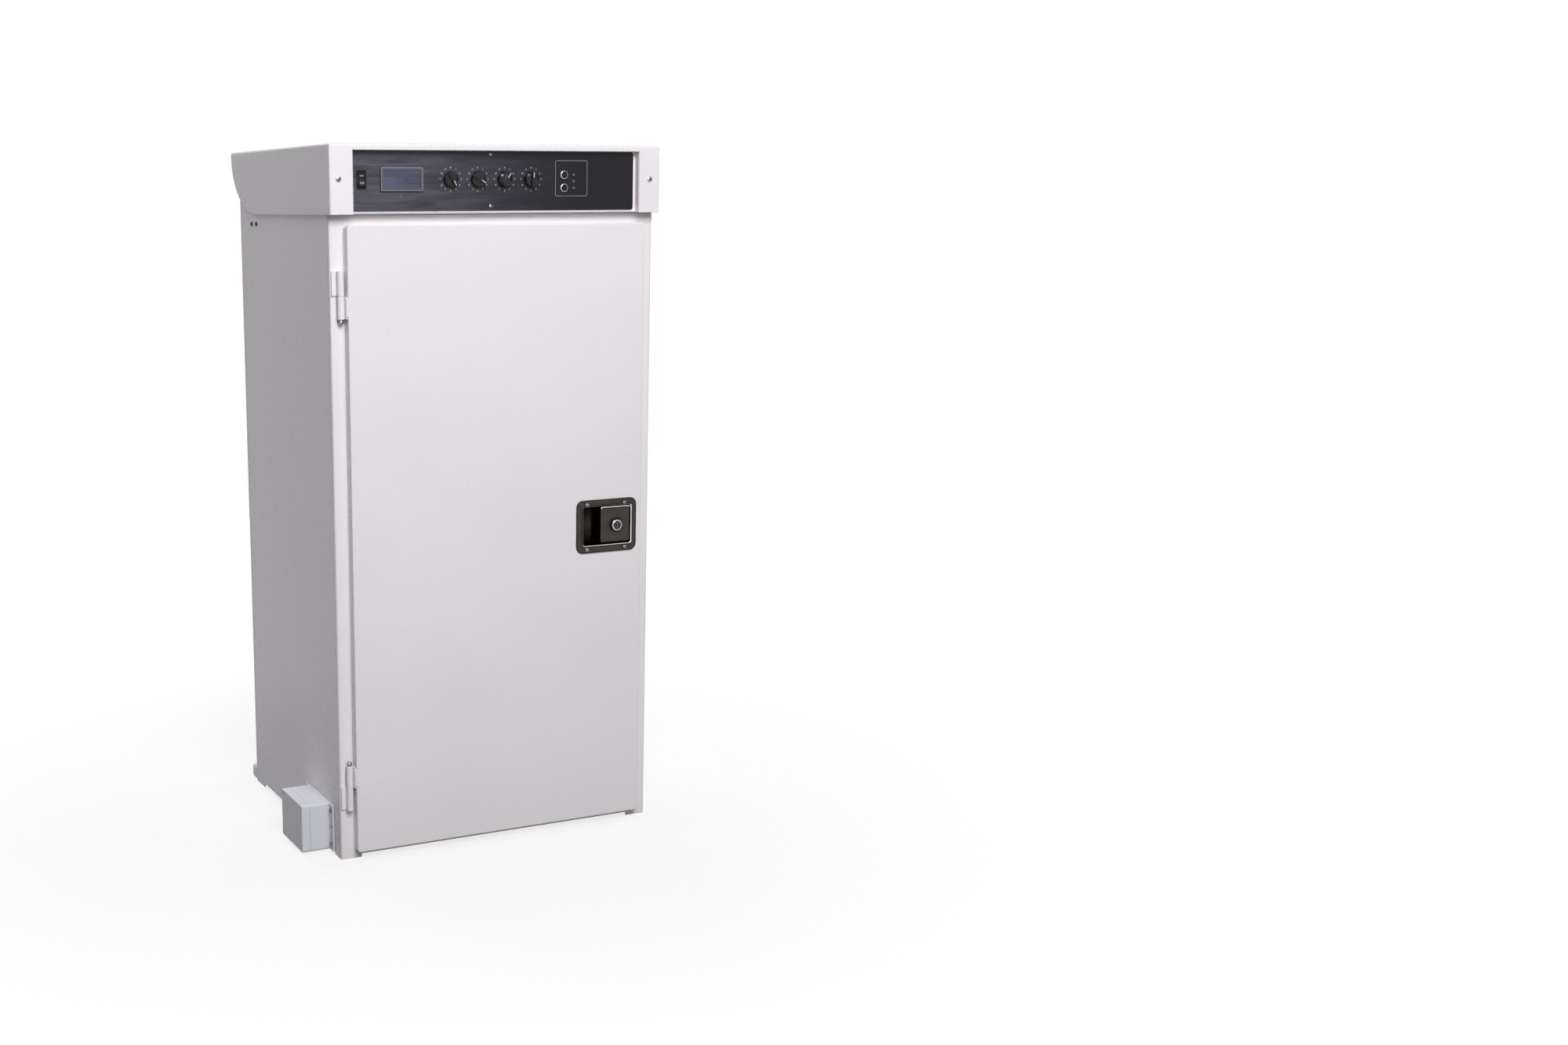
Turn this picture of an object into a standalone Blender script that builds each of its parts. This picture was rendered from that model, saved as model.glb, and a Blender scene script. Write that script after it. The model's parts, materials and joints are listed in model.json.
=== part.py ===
"""Automatic hay feeder for a horse stall, modelled in metres with +Z up.

The service side faces -Y and the horse side faces +Y. Every size below is a real size
in metres. Coordinates are taken from the middle of the cabinet, and one root empty
moves the whole feeder so that the middle of its base is the world origin.
"""
import math

import bmesh
import bpy
from mathutils import Matrix, Vector

# Sheet stock and fits
SHEET = 0.002
THIN_SHEET = 0.0015
SEAT = 0.0003
CORNER_SEAM = 0.0001
RUNNING_FIT = 0.0006

# Cabinet
BODY_WIDTH = 0.592
BODY_DEPTH = 0.486
BODY_HEIGHT = 1.088
CORNER_RADIUS = 0.004
CORNER_WRAP = 0.010
FOOT_LIFT = 0.008
FRONT_FOOT = 0.020
REAR_FOOT = 0.040
FOOT_RAMP = 0.008
SIDE_TOP_LAP = 0.012
SIDE_STEP_START = 0.100
SIDE_STEP_END = 0.170

# Service doorway
FRONT_STILE = 0.042
FRONT_HEADER = 0.032
DOORWAY_BOTTOM = 0.030
DOORWAY_RETURN = 0.020
FRONT_TAB_WIDTH = 0.038
FRONT_TAB_HEIGHT = 0.006

# Hay window on the horse side
REAR_STILE = 0.044
WINDOW_BOTTOM = 0.024
WINDOW_SHARE = 0.47058824
WINDOW_RETURN = 0.030
ROD_DIAMETER = 0.011
ROD_SPACING = 0.126
ROD_SETBACK = 0.018

# Chamber floor
FLOOR_HEIGHT = 0.010
TRAY_FLANGE = 0.008
CELL_LENGTH = 0.130
CELL_WIDTH = 0.030
CELL_HOLE = 0.0022

# Hay bale that the chamber holds
HAY_GAP_LEFT = 0.028
HAY_GAP_RIGHT = 0.013
HAY_GAP_FRONT = 0.042
HAY_GAP_REAR = 0.002
HAY_HEIGHT = 0.455
HAY_ROUNDING = 0.030
HAY_LUMP = 0.006
HAY_FLAKES = 3
HAY_CELLS = 10

# Service door
DOOR_LAP = 0.018
DOOR_BOTTOM_LAP = 0.015
DOOR_TOP_LAP = 0.015
DOOR_STAND_OFF = 0.019
DOOR_CORNER = 0.006
DOOR_HINGE_INSET = 0.0085
DOOR_HINGE_DROP = 0.007
BARREL_RADIUS = 0.006
HINGE_PIN_RADIUS = 0.003
UPPER_HINGE_DROP = 0.072
LOWER_HINGE_BOTTOM = 0.090
FRAME_KNUCKLE = 0.040
DOOR_KNUCKLE = 0.037
HINGE_BALL = 0.004

# Paddle latch
LATCH_INSET = 0.0522
LATCH_RISE = 0.0055
LATCH_WIDTH = 0.118
LATCH_HEIGHT = 0.094
LATCH_CORNER = 0.012
DISH_LEFT = 0.0125
DISH_RIGHT = 0.0100
DISH_TOP = 0.0115
DISH_BOTTOM = 0.0125
DISH_DEPTH = 0.021
DISH_CLEARANCE = 0.0008
PADDLE_WIDTH = 0.058
PADDLE_GAP = 0.0025
PADDLE_LIP = 0.008
PADDLE_PIN = 0.0015
PADDLE_PIVOT_IN = 0.004
PADDLE_PIVOT_DEPTH = 0.0038
LOCK_RADIUS = 0.010
LOCK_INSET = 0.028
LOCK_PROUD = 0.006
LOCK_BARREL = 0.0065
BOLT_LENGTH = 0.032
BOLT_HEIGHT = 0.018
BOLT_THICKNESS = 0.010
BOLT_SHORT = 0.001

# Horse side cover, rails and guides
COVER_MARGIN = 0.010
COVER_STAND_OFF = 0.034
COVER_LIFT = 0.0015
COVER_DROP = 0.0028
COVER_CORNER = 0.003
CAP_HEIGHT = 0.0075
RAIL_HEIGHT = 0.0041
RAIL_NECK_INSET = 0.002
CAP_SHEET = 0.0009
HINGE_RAIL_DEPTH = 0.022
GUIDE_WIDTH = 0.027
GUIDE_STAND_OFF = 0.024
GUIDE_SLOT = 0.008
SILL_HEIGHT = 0.0237
SILL_DEPTH = 0.037
SILL_NOSE = 0.009
SILL_GAP = 0.0007
BLOCK_HEIGHT = 0.023
BLOCK_DEPTH = 0.038
BLOCK_CORNER = 0.007
BLOCK_INSET = 0.003

# Feed door and its drive
FEED_SHORT = 0.020
FEED_PANEL_THICKNESS = 0.005
FEED_PANEL_INSET = 0.018
FEED_PANEL_OVER = 0.031
FEED_BAR_HEIGHT = 0.018
FEED_BAR_DEPTH = 0.016
FEED_BAR_LAP = 0.006
SCREW_RADIUS = 0.006
SCREW_BORE = 0.0064
SCREW_SETBACK = 0.0185
NUT_WIDTH = 0.036
NUT_HEIGHT = 0.020
BEARING_WIDTH = 0.040
BEARING_HEIGHT = 0.013
BEARING_LIFT = 0.0015
MOUNT_WIDTH = 0.050
MOUNT_HEIGHT = 0.070
MOUNT_SHEET = 0.003
MOUNT_GAP = 0.005
MOTOR_RADIUS = 0.012
GEARBOX_HEIGHT = 0.042
MOTOR_HEIGHT = 0.060

# Hood
HOOD_GAP = 0.002
HOOD_STAND_OFF = 0.019
HOOD_RISE = 0.112
HOOD_REACH = 0.035
HOOD_RADIUS = 0.004
CHEEK_RUN = 0.148
CHEEK_END = 0.010
CHEEK_STEPS = 8
TOP_LIP = 0.010
FRONT_RETURN = 0.040

# Piano hinge
PIANO_INSET = 0.00025
PIANO_COUNT = 45
PIANO_SET_BACK = 0.0005
PIANO_RADIUS = 0.0036
PIANO_SHEET = 0.0012
PIANO_LEAF = 0.016
PIANO_PIN_RADIUS = 0.0015
PIANO_GAP = 0.0006
PIANO_CURL_STEPS = 6

# Control panel
TRAY_RECESS = 0.015
TRAY_FLANGE_WIDTH = 0.028
TRAY_SIDE_GAP = 0.0004
TRAY_LIFT = 0.0025
TRAY_DROP = 0.0105
OVERLAY_LEFT_INSET = 0.038
OVERLAY_RIGHT_INSET = 0.041
OVERLAY_LIFT = 0.0025
OVERLAY_DROP = 0.0005
OVERLAY_SHEET = 0.0015
OVERLAY_CORNER = 0.004
DIAL_LIFT = 0.056
DIAL_FIRST_SHARE = 0.337232
DIAL_PITCH_SHARE = 0.094932
DIAL_ANGLES = (152.0, 122.0, 33.0, 0.0)
KNOB_RADIUS = 0.013
KNOB_BASE = 0.0055
KNOB_HEIGHT = 0.012
KNOB_GRIP = 0.0065
SHAFT_RADIUS = 0.003
SHAFT_HOLE = 0.0036
ROCKER_SHARE = 0.032846
ROCKER_OFFSET = -0.0004
ROCKER_WIDTH = 0.0160
ROCKER_HEIGHT = 0.0300
ROCKER_RIM = 0.0024
ROCKER_TILT = 8.0
ROCKER_TUB = 0.014
BEZEL_PROUD = 0.002
DISPLAY_SHARE = 0.168031
DISPLAY_OFFSET = 0.0002
DISPLAY_WIDTH = 0.0744
DISPLAY_HEIGHT = 0.0384
DISPLAY_RIM = 0.0052
DISPLAY_PROUD = 0.0035
DISPLAY_GLASS = 0.0012
BUTTON_SHARE = 0.742690
BUTTON_OFFSETS = (0.0076, -0.0140)
BUTTON_RADIUS = 0.0048
BUTTON_HOLE = 0.0052
BUTTON_PROUD = 0.004
BUTTON_LENGTH = 0.010
BOARD_LEFT_INSET = 0.040
BOARD_RIGHT_INSET = 0.085
BOARD_BELOW = 0.038
BOARD_ABOVE = 0.034
BOARD_SHEET = 0.0016
BOARD_GAP = 0.010
STANDOFF_RADIUS = 0.003
STANDOFF_INSET = 0.006

# Draw latch on the +X side
DRAW_SET_BACK = 0.056
DRAW_PAD_WIDTH = 0.044
DRAW_PAD_HEIGHT = 0.061
DRAW_PAD_DROP = 0.001
DRAW_PAD = 0.004
DRAW_PAD_CORNER = 0.004
DRAW_PLATE = 0.0015
DRAW_PLATE_WIDTH = 0.022
DRAW_PIVOT_OUT = 0.015
DRAW_PIVOT_DROP = 0.016
DRAW_PIN_DROP = 0.019
DRAW_PIN_IN = 0.004
DRAW_PIN_RADIUS = 0.0025
DRAW_EAR_RADIUS = 0.0052
LEVER_WIDTH = 0.028
LEVER_OUT = 0.0205
LEVER_DEPTH = 0.0115
LEVER_ABOVE = 0.004
LEVER_SIDE = 0.041
LEVER_REACH = 0.058
LEVER_NOTCH = 0.0065
LEVER_NOTCH_CLEARANCE = 0.0008
LEVER_HOLE = 0.0045
TONGUE_ROUND = 0.85
LEVER_HOLE_DROP = 0.0275
HOOK_GAP = 0.0004
HOOK_RISE = 0.032
HOOK_START = 0.0055
HOOK_ARM = 0.009
KEEPER_LEDGE = 0.006
KEEPER_RISE = 0.0185
KEEPER_CLEAR = 0.0008
HOOK_LIFT = 0.0008

# Power enclosure on the -X side
BOX_SET_BACK = 0.049
BOX_LENGTH = 0.110
BOX_BOTTOM = 0.004
BOX_TOP = 0.089
BOX_DEPTH = 0.038
LID_DEPTH = 0.015
BOX_WALL = 0.0025
BOX_CORNER = 0.004
LID_RECESS = 0.0017
LID_RECESS_RADIUS = 0.0038
LID_SCREW_INSET = 0.0075
EAR_LENGTH = 0.018
EAR_SHEET = 0.003
EAR_SLOT = 0.005
EAR_SLOT_LENGTH = 0.009
EAR_SLOT_LEVELS = (0.14, 0.50, 0.86)

# Planes and lines that several pieces share
HALF_W = BODY_WIDTH / 2
DOORWAY_WIDTH = BODY_WIDTH - 2 * FRONT_STILE
DOORWAY_TOP = BODY_HEIGHT - FRONT_HEADER
DOOR_WIDTH = DOORWAY_WIDTH + 2 * DOOR_LAP
DOOR_BOTTOM = DOORWAY_BOTTOM - DOOR_BOTTOM_LAP
DOOR_TOP = DOORWAY_TOP + DOOR_TOP_LAP
UPPER_HINGE_TOP = DOOR_TOP - UPPER_HINGE_DROP
LATCH_X = DOORWAY_WIDTH / 2 - LATCH_INSET
LATCH_Z = (DOOR_BOTTOM + DOOR_TOP) / 2 + LATCH_RISE
WINDOW_WIDTH = BODY_WIDTH - 2 * REAR_STILE
COVER_WIDTH = BODY_WIDTH - 2 * COVER_MARGIN
WINDOW_TOP = WINDOW_SHARE * BODY_HEIGHT
COVER_BOTTOM = WINDOW_TOP + COVER_LIFT
BLOCK_OUTER = HALF_W - BLOCK_INSET
FRONT_Y = -BODY_DEPTH / 2
DRAW_Y = FRONT_Y + DRAW_SET_BACK
BOX_FRONT = FRONT_Y + BOX_SET_BACK
BOX_BACK = BOX_FRONT + BOX_LENGTH
REAR_Y = BODY_DEPTH / 2
DOOR_FACE = FRONT_Y - DOOR_STAND_OFF
COVER_FACE = REAR_Y + COVER_STAND_OFF
HOOD_X = HALF_W + HOOD_GAP + SHEET
HOOD_FACE = FRONT_Y - HOOD_STAND_OFF
HOOD_BACK = REAR_Y + HOOD_REACH
HOOD_TOP = BODY_HEIGHT + HOOD_RISE
HOOD_UNDER = HOOD_TOP - SHEET
CHEEK_RISE = HOOD_RISE - CHEEK_END
PIANO_Y = COVER_FACE - PIANO_SET_BACK
PIANO_Z = HOOD_UNDER - SEAT - PIANO_RADIUS
PIANO_LENGTH = COVER_WIDTH - 2 * PIANO_INSET
PIANO_PITCH = PIANO_LENGTH / PIANO_COUNT
RAIL_TOP = PIANO_Z - PIANO_RADIUS - SEAT
RAIL_BOTTOM = RAIL_TOP - RAIL_HEIGHT
CAP_TOP = RAIL_BOTTOM - SEAT
CAP_BOTTOM = CAP_TOP - CAP_HEIGHT
REAR_HEIGHT = CAP_BOTTOM - SEAT
COVER_TOP = CAP_BOTTOM - COVER_DROP
TRAY_FACE = HOOD_FACE + TRAY_RECESS
TRAY_BACK = TRAY_FACE + SHEET
OVERLAY_FACE = TRAY_FACE - SEAT - OVERLAY_SHEET
TRAY_BOTTOM = BODY_HEIGHT + TRAY_LIFT
TRAY_TOP = HOOD_TOP - TRAY_DROP
OVERLAY_LEFT = HALF_W - OVERLAY_LEFT_INSET
OVERLAY_RIGHT = HALF_W - OVERLAY_RIGHT_INSET
OVERLAY_WIDTH = OVERLAY_LEFT + OVERLAY_RIGHT
OVERLAY_BOTTOM = TRAY_BOTTOM + OVERLAY_LIFT
OVERLAY_TOP = TRAY_TOP - OVERLAY_DROP
DIAL_ROW = BODY_HEIGHT + DIAL_LIFT
DIAL_FIRST = DIAL_FIRST_SHARE * OVERLAY_WIDTH - OVERLAY_LEFT
DIAL_PITCH = DIAL_PITCH_SHARE * OVERLAY_WIDTH
ROCKER_X = ROCKER_SHARE * OVERLAY_WIDTH - OVERLAY_LEFT
ROCKER_ROW = DIAL_ROW + ROCKER_OFFSET
DISPLAY_X = DISPLAY_SHARE * OVERLAY_WIDTH - OVERLAY_LEFT
DISPLAY_ROW = DIAL_ROW + DISPLAY_OFFSET
BUTTON_X = BUTTON_SHARE * OVERLAY_WIDTH - OVERLAY_LEFT
BUTTON_ROWS = [DIAL_ROW + offset for offset in BUTTON_OFFSETS]
BOARD_LEFT = BOARD_LEFT_INSET - OVERLAY_LEFT
BOARD_RIGHT = OVERLAY_RIGHT - BOARD_RIGHT_INSET
BOARD_BOTTOM = DIAL_ROW - BOARD_BELOW
BOARD_TOP = DIAL_ROW + BOARD_ABOVE
HINGE_X = -DOOR_WIDTH / 2 - DOOR_HINGE_INSET
HINGE_Y = FRONT_Y - DOOR_HINGE_DROP
SCREW_Y = REAR_Y + SCREW_SETBACK
FEED_TRAVEL = WINDOW_TOP - WINDOW_BOTTOM - FEED_SHORT
FEED_PANEL_REACH = HALF_W - FEED_PANEL_INSET
FEED_PANEL_HEIGHT = WINDOW_TOP - WINDOW_BOTTOM + FEED_PANEL_OVER
FEED_BACK = REAR_Y + (GUIDE_SLOT - FEED_PANEL_THICKNESS) / 2
FEED_FRONT = FEED_BACK + FEED_PANEL_THICKNESS
FEED_BAR_BOTTOM = WINDOW_TOP - FEED_BAR_HEIGHT
FEED_BOTTOM = FEED_BAR_BOTTOM + FEED_BAR_LAP
FEED_TOP = FEED_BAR_BOTTOM + FEED_BAR_LAP + FEED_PANEL_HEIGHT
MOUNT_BOTTOM = FEED_TOP + MOUNT_GAP
MOTOR_BOTTOM = MOUNT_BOTTOM + MOUNT_SHEET + SEAT
PAD_FACE = HALF_W + SEAT + DRAW_PAD
DRAW_PAD_TOP = BODY_HEIGHT - DRAW_PAD_DROP
DRAW_PAD_BOTTOM = DRAW_PAD_TOP - DRAW_PAD_HEIGHT
DRAW_PIVOT_Z = BODY_HEIGHT - DRAW_PIVOT_DROP
LEVER_TOP = DRAW_PIVOT_Z + LEVER_ABOVE
LEVER_SKIRT = DRAW_PIVOT_Z - LEVER_SIDE
LEVER_TIP = DRAW_PIVOT_Z - LEVER_REACH
LEVER_HOLE_Z = DRAW_PIVOT_Z - LEVER_HOLE_DROP
HOOK_TOP = DRAW_PIVOT_Z + HOOK_RISE
HOOK_BOTTOM = DRAW_PIVOT_Z + HOOK_START
KEEPER_BOTTOM = DRAW_PIVOT_Z + KEEPER_RISE
DRAW_X = HALF_W + DRAW_PIVOT_OUT
HOOK_PIN_X = DRAW_X - DRAW_PIN_IN
HOOK_PIN_Z = DRAW_PIVOT_Z - DRAW_PIN_DROP
LEVER_FACE = HALF_W + LEVER_OUT
KEEPER_TIP = HOOD_X + SEAT + KEEPER_LEDGE
DISH_FACE = DOOR_FACE - SEAT - THIN_SHEET
DISH_X0 = LATCH_X - LATCH_WIDTH / 2 + DISH_LEFT
DISH_X1 = LATCH_X + LATCH_WIDTH / 2 - DISH_RIGHT
DISH_Z0 = LATCH_Z - LATCH_HEIGHT / 2 + DISH_BOTTOM
DISH_Z1 = LATCH_Z + LATCH_HEIGHT / 2 - DISH_TOP
DISH_BACK = DISH_FACE + DISH_DEPTH
LOCK_X = DISH_X1 - PADDLE_GAP - LOCK_INSET
LINER_X = WINDOW_WIDTH / 2 + SEAT
BOX_FACE = -HALF_W - SEAT

# Colour, roughness and metallic value of each finish
FINISHES = {
    "white_powder_coat": ((0.80, 0.79, 0.80), 0.22, 0.0),
    "black_powder_coat": ((0.012, 0.012, 0.014), 0.35, 0.0),
    "black_plastic": ((0.015, 0.015, 0.017), 0.30, 0.0),
    "grey_plastic": ((0.52, 0.53, 0.56), 0.45, 0.0),
    "black_overlay": ((0.025, 0.022, 0.030), 0.18, 0.0),
    "display_glass": ((0.040, 0.045, 0.075), 0.08, 0.0),
    "stainless": ((0.60, 0.58, 0.56), 0.28, 1.0),
    "zinc_steel": ((0.55, 0.55, 0.57), 0.35, 1.0),
    "chrome": ((0.80, 0.80, 0.82), 0.10, 1.0),
    "steel_rod": ((0.24, 0.24, 0.25), 0.25, 1.0),
    "black_rubber": ((0.010, 0.010, 0.011), 0.60, 0.0),
    "bronze": ((0.50, 0.33, 0.15), 0.35, 1.0),
    "circuit_green": ((0.02, 0.12, 0.05), 0.45, 0.0),
    "dried_hay": ((0.28, 0.22, 0.09), 0.80, 0.0),
}

# Bodies that move, with the point that their joint turns or slides about
PIVOTS = {
    "cabinet": Vector((0.0, 0.0, 0.0)),
    "hood": Vector((0.0, PIANO_Y, PIANO_Z)),
    "service_door": Vector((HINGE_X, HINGE_Y, DOORWAY_BOTTOM)),
    "feed_door": Vector((0.0, FEED_BACK, FEED_BOTTOM)),
}

for item in list(bpy.data.objects):
    bpy.data.objects.remove(item, do_unlink=True)

parts = bpy.data.collections.new("feeder")
cutters = bpy.data.collections.new("cutters")
bpy.context.scene.collection.children.link(parts)
bpy.context.scene.collection.children.link(cutters)
cutters.hide_render = True

# The root moves the middle of the base to the world origin
REACH_LEFT = HALF_W + SEAT + BOX_DEPTH + SEAT + LID_DEPTH
REACH_RIGHT = LEVER_FACE + HOOK_GAP + THIN_SHEET
REACH_FRONT = -DISH_FACE + LOCK_PROUD
REACH_REAR = REAR_Y + SEAT + BLOCK_DEPTH
root = bpy.data.objects.new("feeder_root", None)
root.location = ((REACH_LEFT - REACH_RIGHT) / 2, (REACH_FRONT - REACH_REAR) / 2, 0.0)
parts.objects.link(root)

bodies = {}
for body_name, pivot in PIVOTS.items():
    empty = bpy.data.objects.new(body_name + "_frame", None)
    empty.parent = root
    empty.location = pivot
    parts.objects.link(empty)
    bodies[body_name] = empty


def finish_material(name, finish):
    """Make one Principled material from the table of finishes."""
    colour, roughness, metallic = FINISHES[finish]
    material = bpy.data.materials.new(name + "_" + finish)
    material.use_nodes = True
    shader = material.node_tree.nodes["Principled BSDF"]
    shader.inputs["Base Color"].default_value = (*colour, 1.0)
    shader.inputs["Roughness"].default_value = roughness
    shader.inputs["Metallic"].default_value = metallic
    material.diffuse_color = (*colour, 1.0)
    return material


def keep(obj, finish, body="cabinet", origin=None):
    """Put a piece on its body, with its origin on the body's joint or at its own pivot."""
    pivot = PIVOTS[body]
    origin = pivot if origin is None else Vector(origin)
    obj.data.transform(Matrix.Translation(-origin))
    obj.parent = bodies[body]
    obj.location = origin - pivot
    obj.data.materials.clear()
    obj.data.materials.append(finish_material(obj.name, finish))
    return obj


def tool(obj):
    """Make a piece a hidden cutter or a hidden half of a union."""
    parts.objects.unlink(obj)
    cutters.objects.link(obj)
    obj.hide_render = True
    obj.display_type = 'WIRE'
    obj.parent = root
    return obj


def mesh_object(name, bm):
    """Turn a bmesh into a linked object."""
    mesh = bpy.data.meshes.new(name)
    bm.to_mesh(mesh)
    bm.free()
    obj = bpy.data.objects.new(name, mesh)
    parts.objects.link(obj)
    return obj


def box(name, x, y, z):
    """Make a box from three (low, high) pairs."""
    bm = bmesh.new()
    bmesh.ops.create_cube(bm, size=1.0)
    size = Vector((x[1] - x[0], y[1] - y[0], z[1] - z[0]))
    middle = Vector((x[0] + x[1], y[0] + y[1], z[0] + z[1])) / 2
    bmesh.ops.scale(bm, vec=size, verts=bm.verts)
    bmesh.ops.translate(bm, vec=middle, verts=bm.verts)
    return mesh_object(name, bm)


def cylinder(name, radius, start, end, sides=16):
    """Make a cylinder between two points on a line along X, Y or Z."""
    start = Vector(start)
    end = Vector(end)
    run = end - start
    turn = Vector((0, 0, 1)).rotation_difference(run.normalized()).to_matrix().to_4x4()
    bm = bmesh.new()
    bmesh.ops.create_cone(bm, cap_ends=True, segments=sides, radius1=radius, radius2=radius,
                          depth=run.length, matrix=Matrix.Translation((start + end) / 2) @ turn)
    return mesh_object(name, bm)


def turned(name, profile, centre, axis='Z', sides=16):
    """Turn a (radius, height) profile with a Screw modifier, heights running down."""
    bm = bmesh.new()
    points = [bm.verts.new((radius, 0.0, height)) for radius, height in profile]
    for first, second in zip(points, points[1:]):
        bm.edges.new((first, second))
    obj = mesh_object(name, bm)
    screw = obj.modifiers.new("turn", 'SCREW')
    screw.axis = 'Z'
    screw.steps = sides
    screw.render_steps = sides
    screw.use_merge_vertices = True
    screw.merge_threshold = 0.00001
    bpy.context.view_layer.update()
    solid = freeze(obj)
    if axis == 'Y':
        solid.data.transform(Matrix.Rotation(math.radians(90), 4, 'X'))
    solid.data.transform(Matrix.Translation(Vector(centre)))
    return solid


def freeze(obj):
    """Replace an object by the mesh that its modifiers or its curve give."""
    bpy.context.view_layer.update()
    depsgraph = bpy.context.evaluated_depsgraph_get()
    mesh = bpy.data.meshes.new_from_object(obj.evaluated_get(depsgraph))
    name = obj.name
    bpy.data.objects.remove(obj, do_unlink=True)
    bm = bmesh.new()
    bm.from_mesh(mesh)
    bmesh.ops.remove_doubles(bm, verts=bm.verts, dist=0.000005)
    bpy.data.meshes.remove(mesh)
    return mesh_object(name, bm)


def fillet(points, radius, steps=4, closed=True, skip=()):
    """Round the corners of a flat outline."""
    result = []
    count = len(points)
    for index, point in enumerate(points):
        inner = closed or 0 < index < count - 1
        if not inner or index in skip or radius <= 0:
            result.append(point)
            continue
        here = Vector(point)
        before = (Vector(points[index - 1]) - here).normalized()
        after = (Vector(points[(index + 1) % count]) - here).normalized()
        half = before.angle(after) / 2
        reach = radius / math.tan(half)
        centre = here + (before + after).normalized() * (radius / math.sin(half))
        start = here + before * reach - centre
        end = here + after * reach - centre
        sweep = start.angle_signed(end)
        for step in range(steps + 1):
            turn = Matrix.Rotation(-sweep * step / steps, 2)
            result.append(tuple(centre + turn @ start))
    return result


def to_plane(plane, depth):
    """Matrix that lays the XY plane on a named plane at a depth along its normal."""
    if plane == 'XY':
        return Matrix.Translation((0, 0, depth))
    if plane == 'YZ':
        axes = Matrix(((0, 0, 1, 0), (1, 0, 0, 0), (0, 1, 0, 0), (0, 0, 0, 1)))
        return Matrix.Translation((depth, 0, 0)) @ axes
    axes = Matrix(((1, 0, 0, 0), (0, 0, -1, 0), (0, 1, 0, 0), (0, 0, 0, 1)))
    return Matrix.Translation((0, depth, 0)) @ axes


def outline(name, loops, plane, span):
    """Extrude a flat outline, with its holes, between two depths."""
    curve = bpy.data.curves.new(name, 'CURVE')
    curve.dimensions = '2D'
    curve.fill_mode = 'BOTH'
    curve.extrude = (span[1] - span[0]) / 2
    for loop in loops:
        spline = curve.splines.new('POLY')
        spline.points.add(len(loop) - 1)
        for point, (u, v) in zip(spline.points, loop):
            point.co = (u, v, 0.0, 1.0)
        spline.use_cyclic_u = True
    obj = bpy.data.objects.new(name, curve)
    parts.objects.link(obj)
    solid = freeze(obj)
    solid.data.transform(to_plane(plane, (span[0] + span[1]) / 2))
    return solid


def ring(centre, radius, sides=16):
    """Points of a round hole in an outline."""
    step = 2 * math.pi / sides
    return [(centre[0] + radius * math.cos(step * i), centre[1] + radius * math.sin(step * i))
            for i in range(sides)]


def rectangle(u, v, radius=0.0, steps=4):
    """Corner points of a rectangle, rounded if a radius is given."""
    corners = [(u[0], v[0]), (u[1], v[0]), (u[1], v[1]), (u[0], v[1])]
    return fillet(corners, radius, steps) if radius > 0 else corners


def thicken(obj, thickness, offset=-1.0):
    """Give an open surface its sheet thickness."""
    solidify = obj.modifiers.new("sheet", 'SOLIDIFY')
    solidify.thickness = thickness
    solidify.offset = offset
    solidify.use_even_offset = True
    solidify.use_quality_normals = True
    return obj


def face_out(bm, outside):
    """Turn every face of an open surface so that the first one looks outside."""
    bm.faces.ensure_lookup_table()
    bmesh.ops.recalc_face_normals(bm, faces=bm.faces)
    bm.normal_update()
    if max(bm.faces, key=lambda f: f.calc_area()).normal.dot(Vector(outside)) < 0:
        bmesh.ops.reverse_faces(bm, faces=bm.faces)


def grid_surface(us, vs, missing=()):
    """Make a flat grid on the XY plane with cells left out."""
    bm = bmesh.new()
    bmesh.ops.create_grid(bm, x_segments=len(us) - 1, y_segments=len(vs) - 1, size=1.0)
    for vert in bm.verts:
        column = round((vert.co.x + 1) / 2 * (len(us) - 1))
        row = round((vert.co.y + 1) / 2 * (len(vs) - 1))
        vert.co = (us[column], vs[row], 0.0)
    gone = []
    for face in bm.faces:
        middle = face.calc_center_median()
        column = sum(middle.x > u for u in us) - 1
        row = sum(middle.y > v for v in vs) - 1
        if (column, row) in missing:
            gone.append(face)
    bmesh.ops.delete(bm, geom=gone, context='FACES')
    return bm


def fold(bm, chosen, vector):
    """Fold a flange from the open edges whose ends are all chosen."""
    edges = [edge for edge in bm.edges if edge.is_boundary and all(chosen(v.co) for v in edge.verts)]
    made = bmesh.ops.extrude_edge_only(bm, edges=edges)["geom"]
    moved = [item for item in made if isinstance(item, bmesh.types.BMVert)]
    bmesh.ops.translate(bm, vec=vector, verts=moved)


def near(value, target):
    return abs(value - target) < 0.00001


def sheet_run(name, path, plane, span, thickness, outside):
    """Run an open section along its plane's normal and give it sheet thickness."""
    bm = bmesh.new()
    verts = [bm.verts.new((u, v, 0.0)) for u, v in path]
    edges = [bm.edges.new(pair) for pair in zip(verts, verts[1:])]
    made = bmesh.ops.extrude_edge_only(bm, edges=edges)["geom"]
    far = [item for item in made if isinstance(item, bmesh.types.BMVert)]
    bmesh.ops.translate(bm, vec=(0, 0, span[1] - span[0]), verts=far)
    bmesh.ops.transform(bm, matrix=to_plane(plane, 0.0), verts=bm.verts)
    start = {'XY': (0, 0, span[0]), 'YZ': (span[0], 0, 0), 'XZ': (0, span[1], 0)}[plane]
    bmesh.ops.translate(bm, vec=start, verts=bm.verts)
    face_out(bm, outside)
    return thicken(mesh_object(name, bm), thickness)


def cut(obj, other, operation='DIFFERENCE'):
    """Cut a hidden piece out of an object, or join it on."""
    boolean = obj.modifiers.new(operation.lower(), 'BOOLEAN')
    boolean.operation = operation
    boolean.solver = 'EXACT'
    boolean.object = tool(other)
    return obj


def join(obj, *others):
    for other in others:
        cut(obj, other, 'UNION')
    return obj


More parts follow.
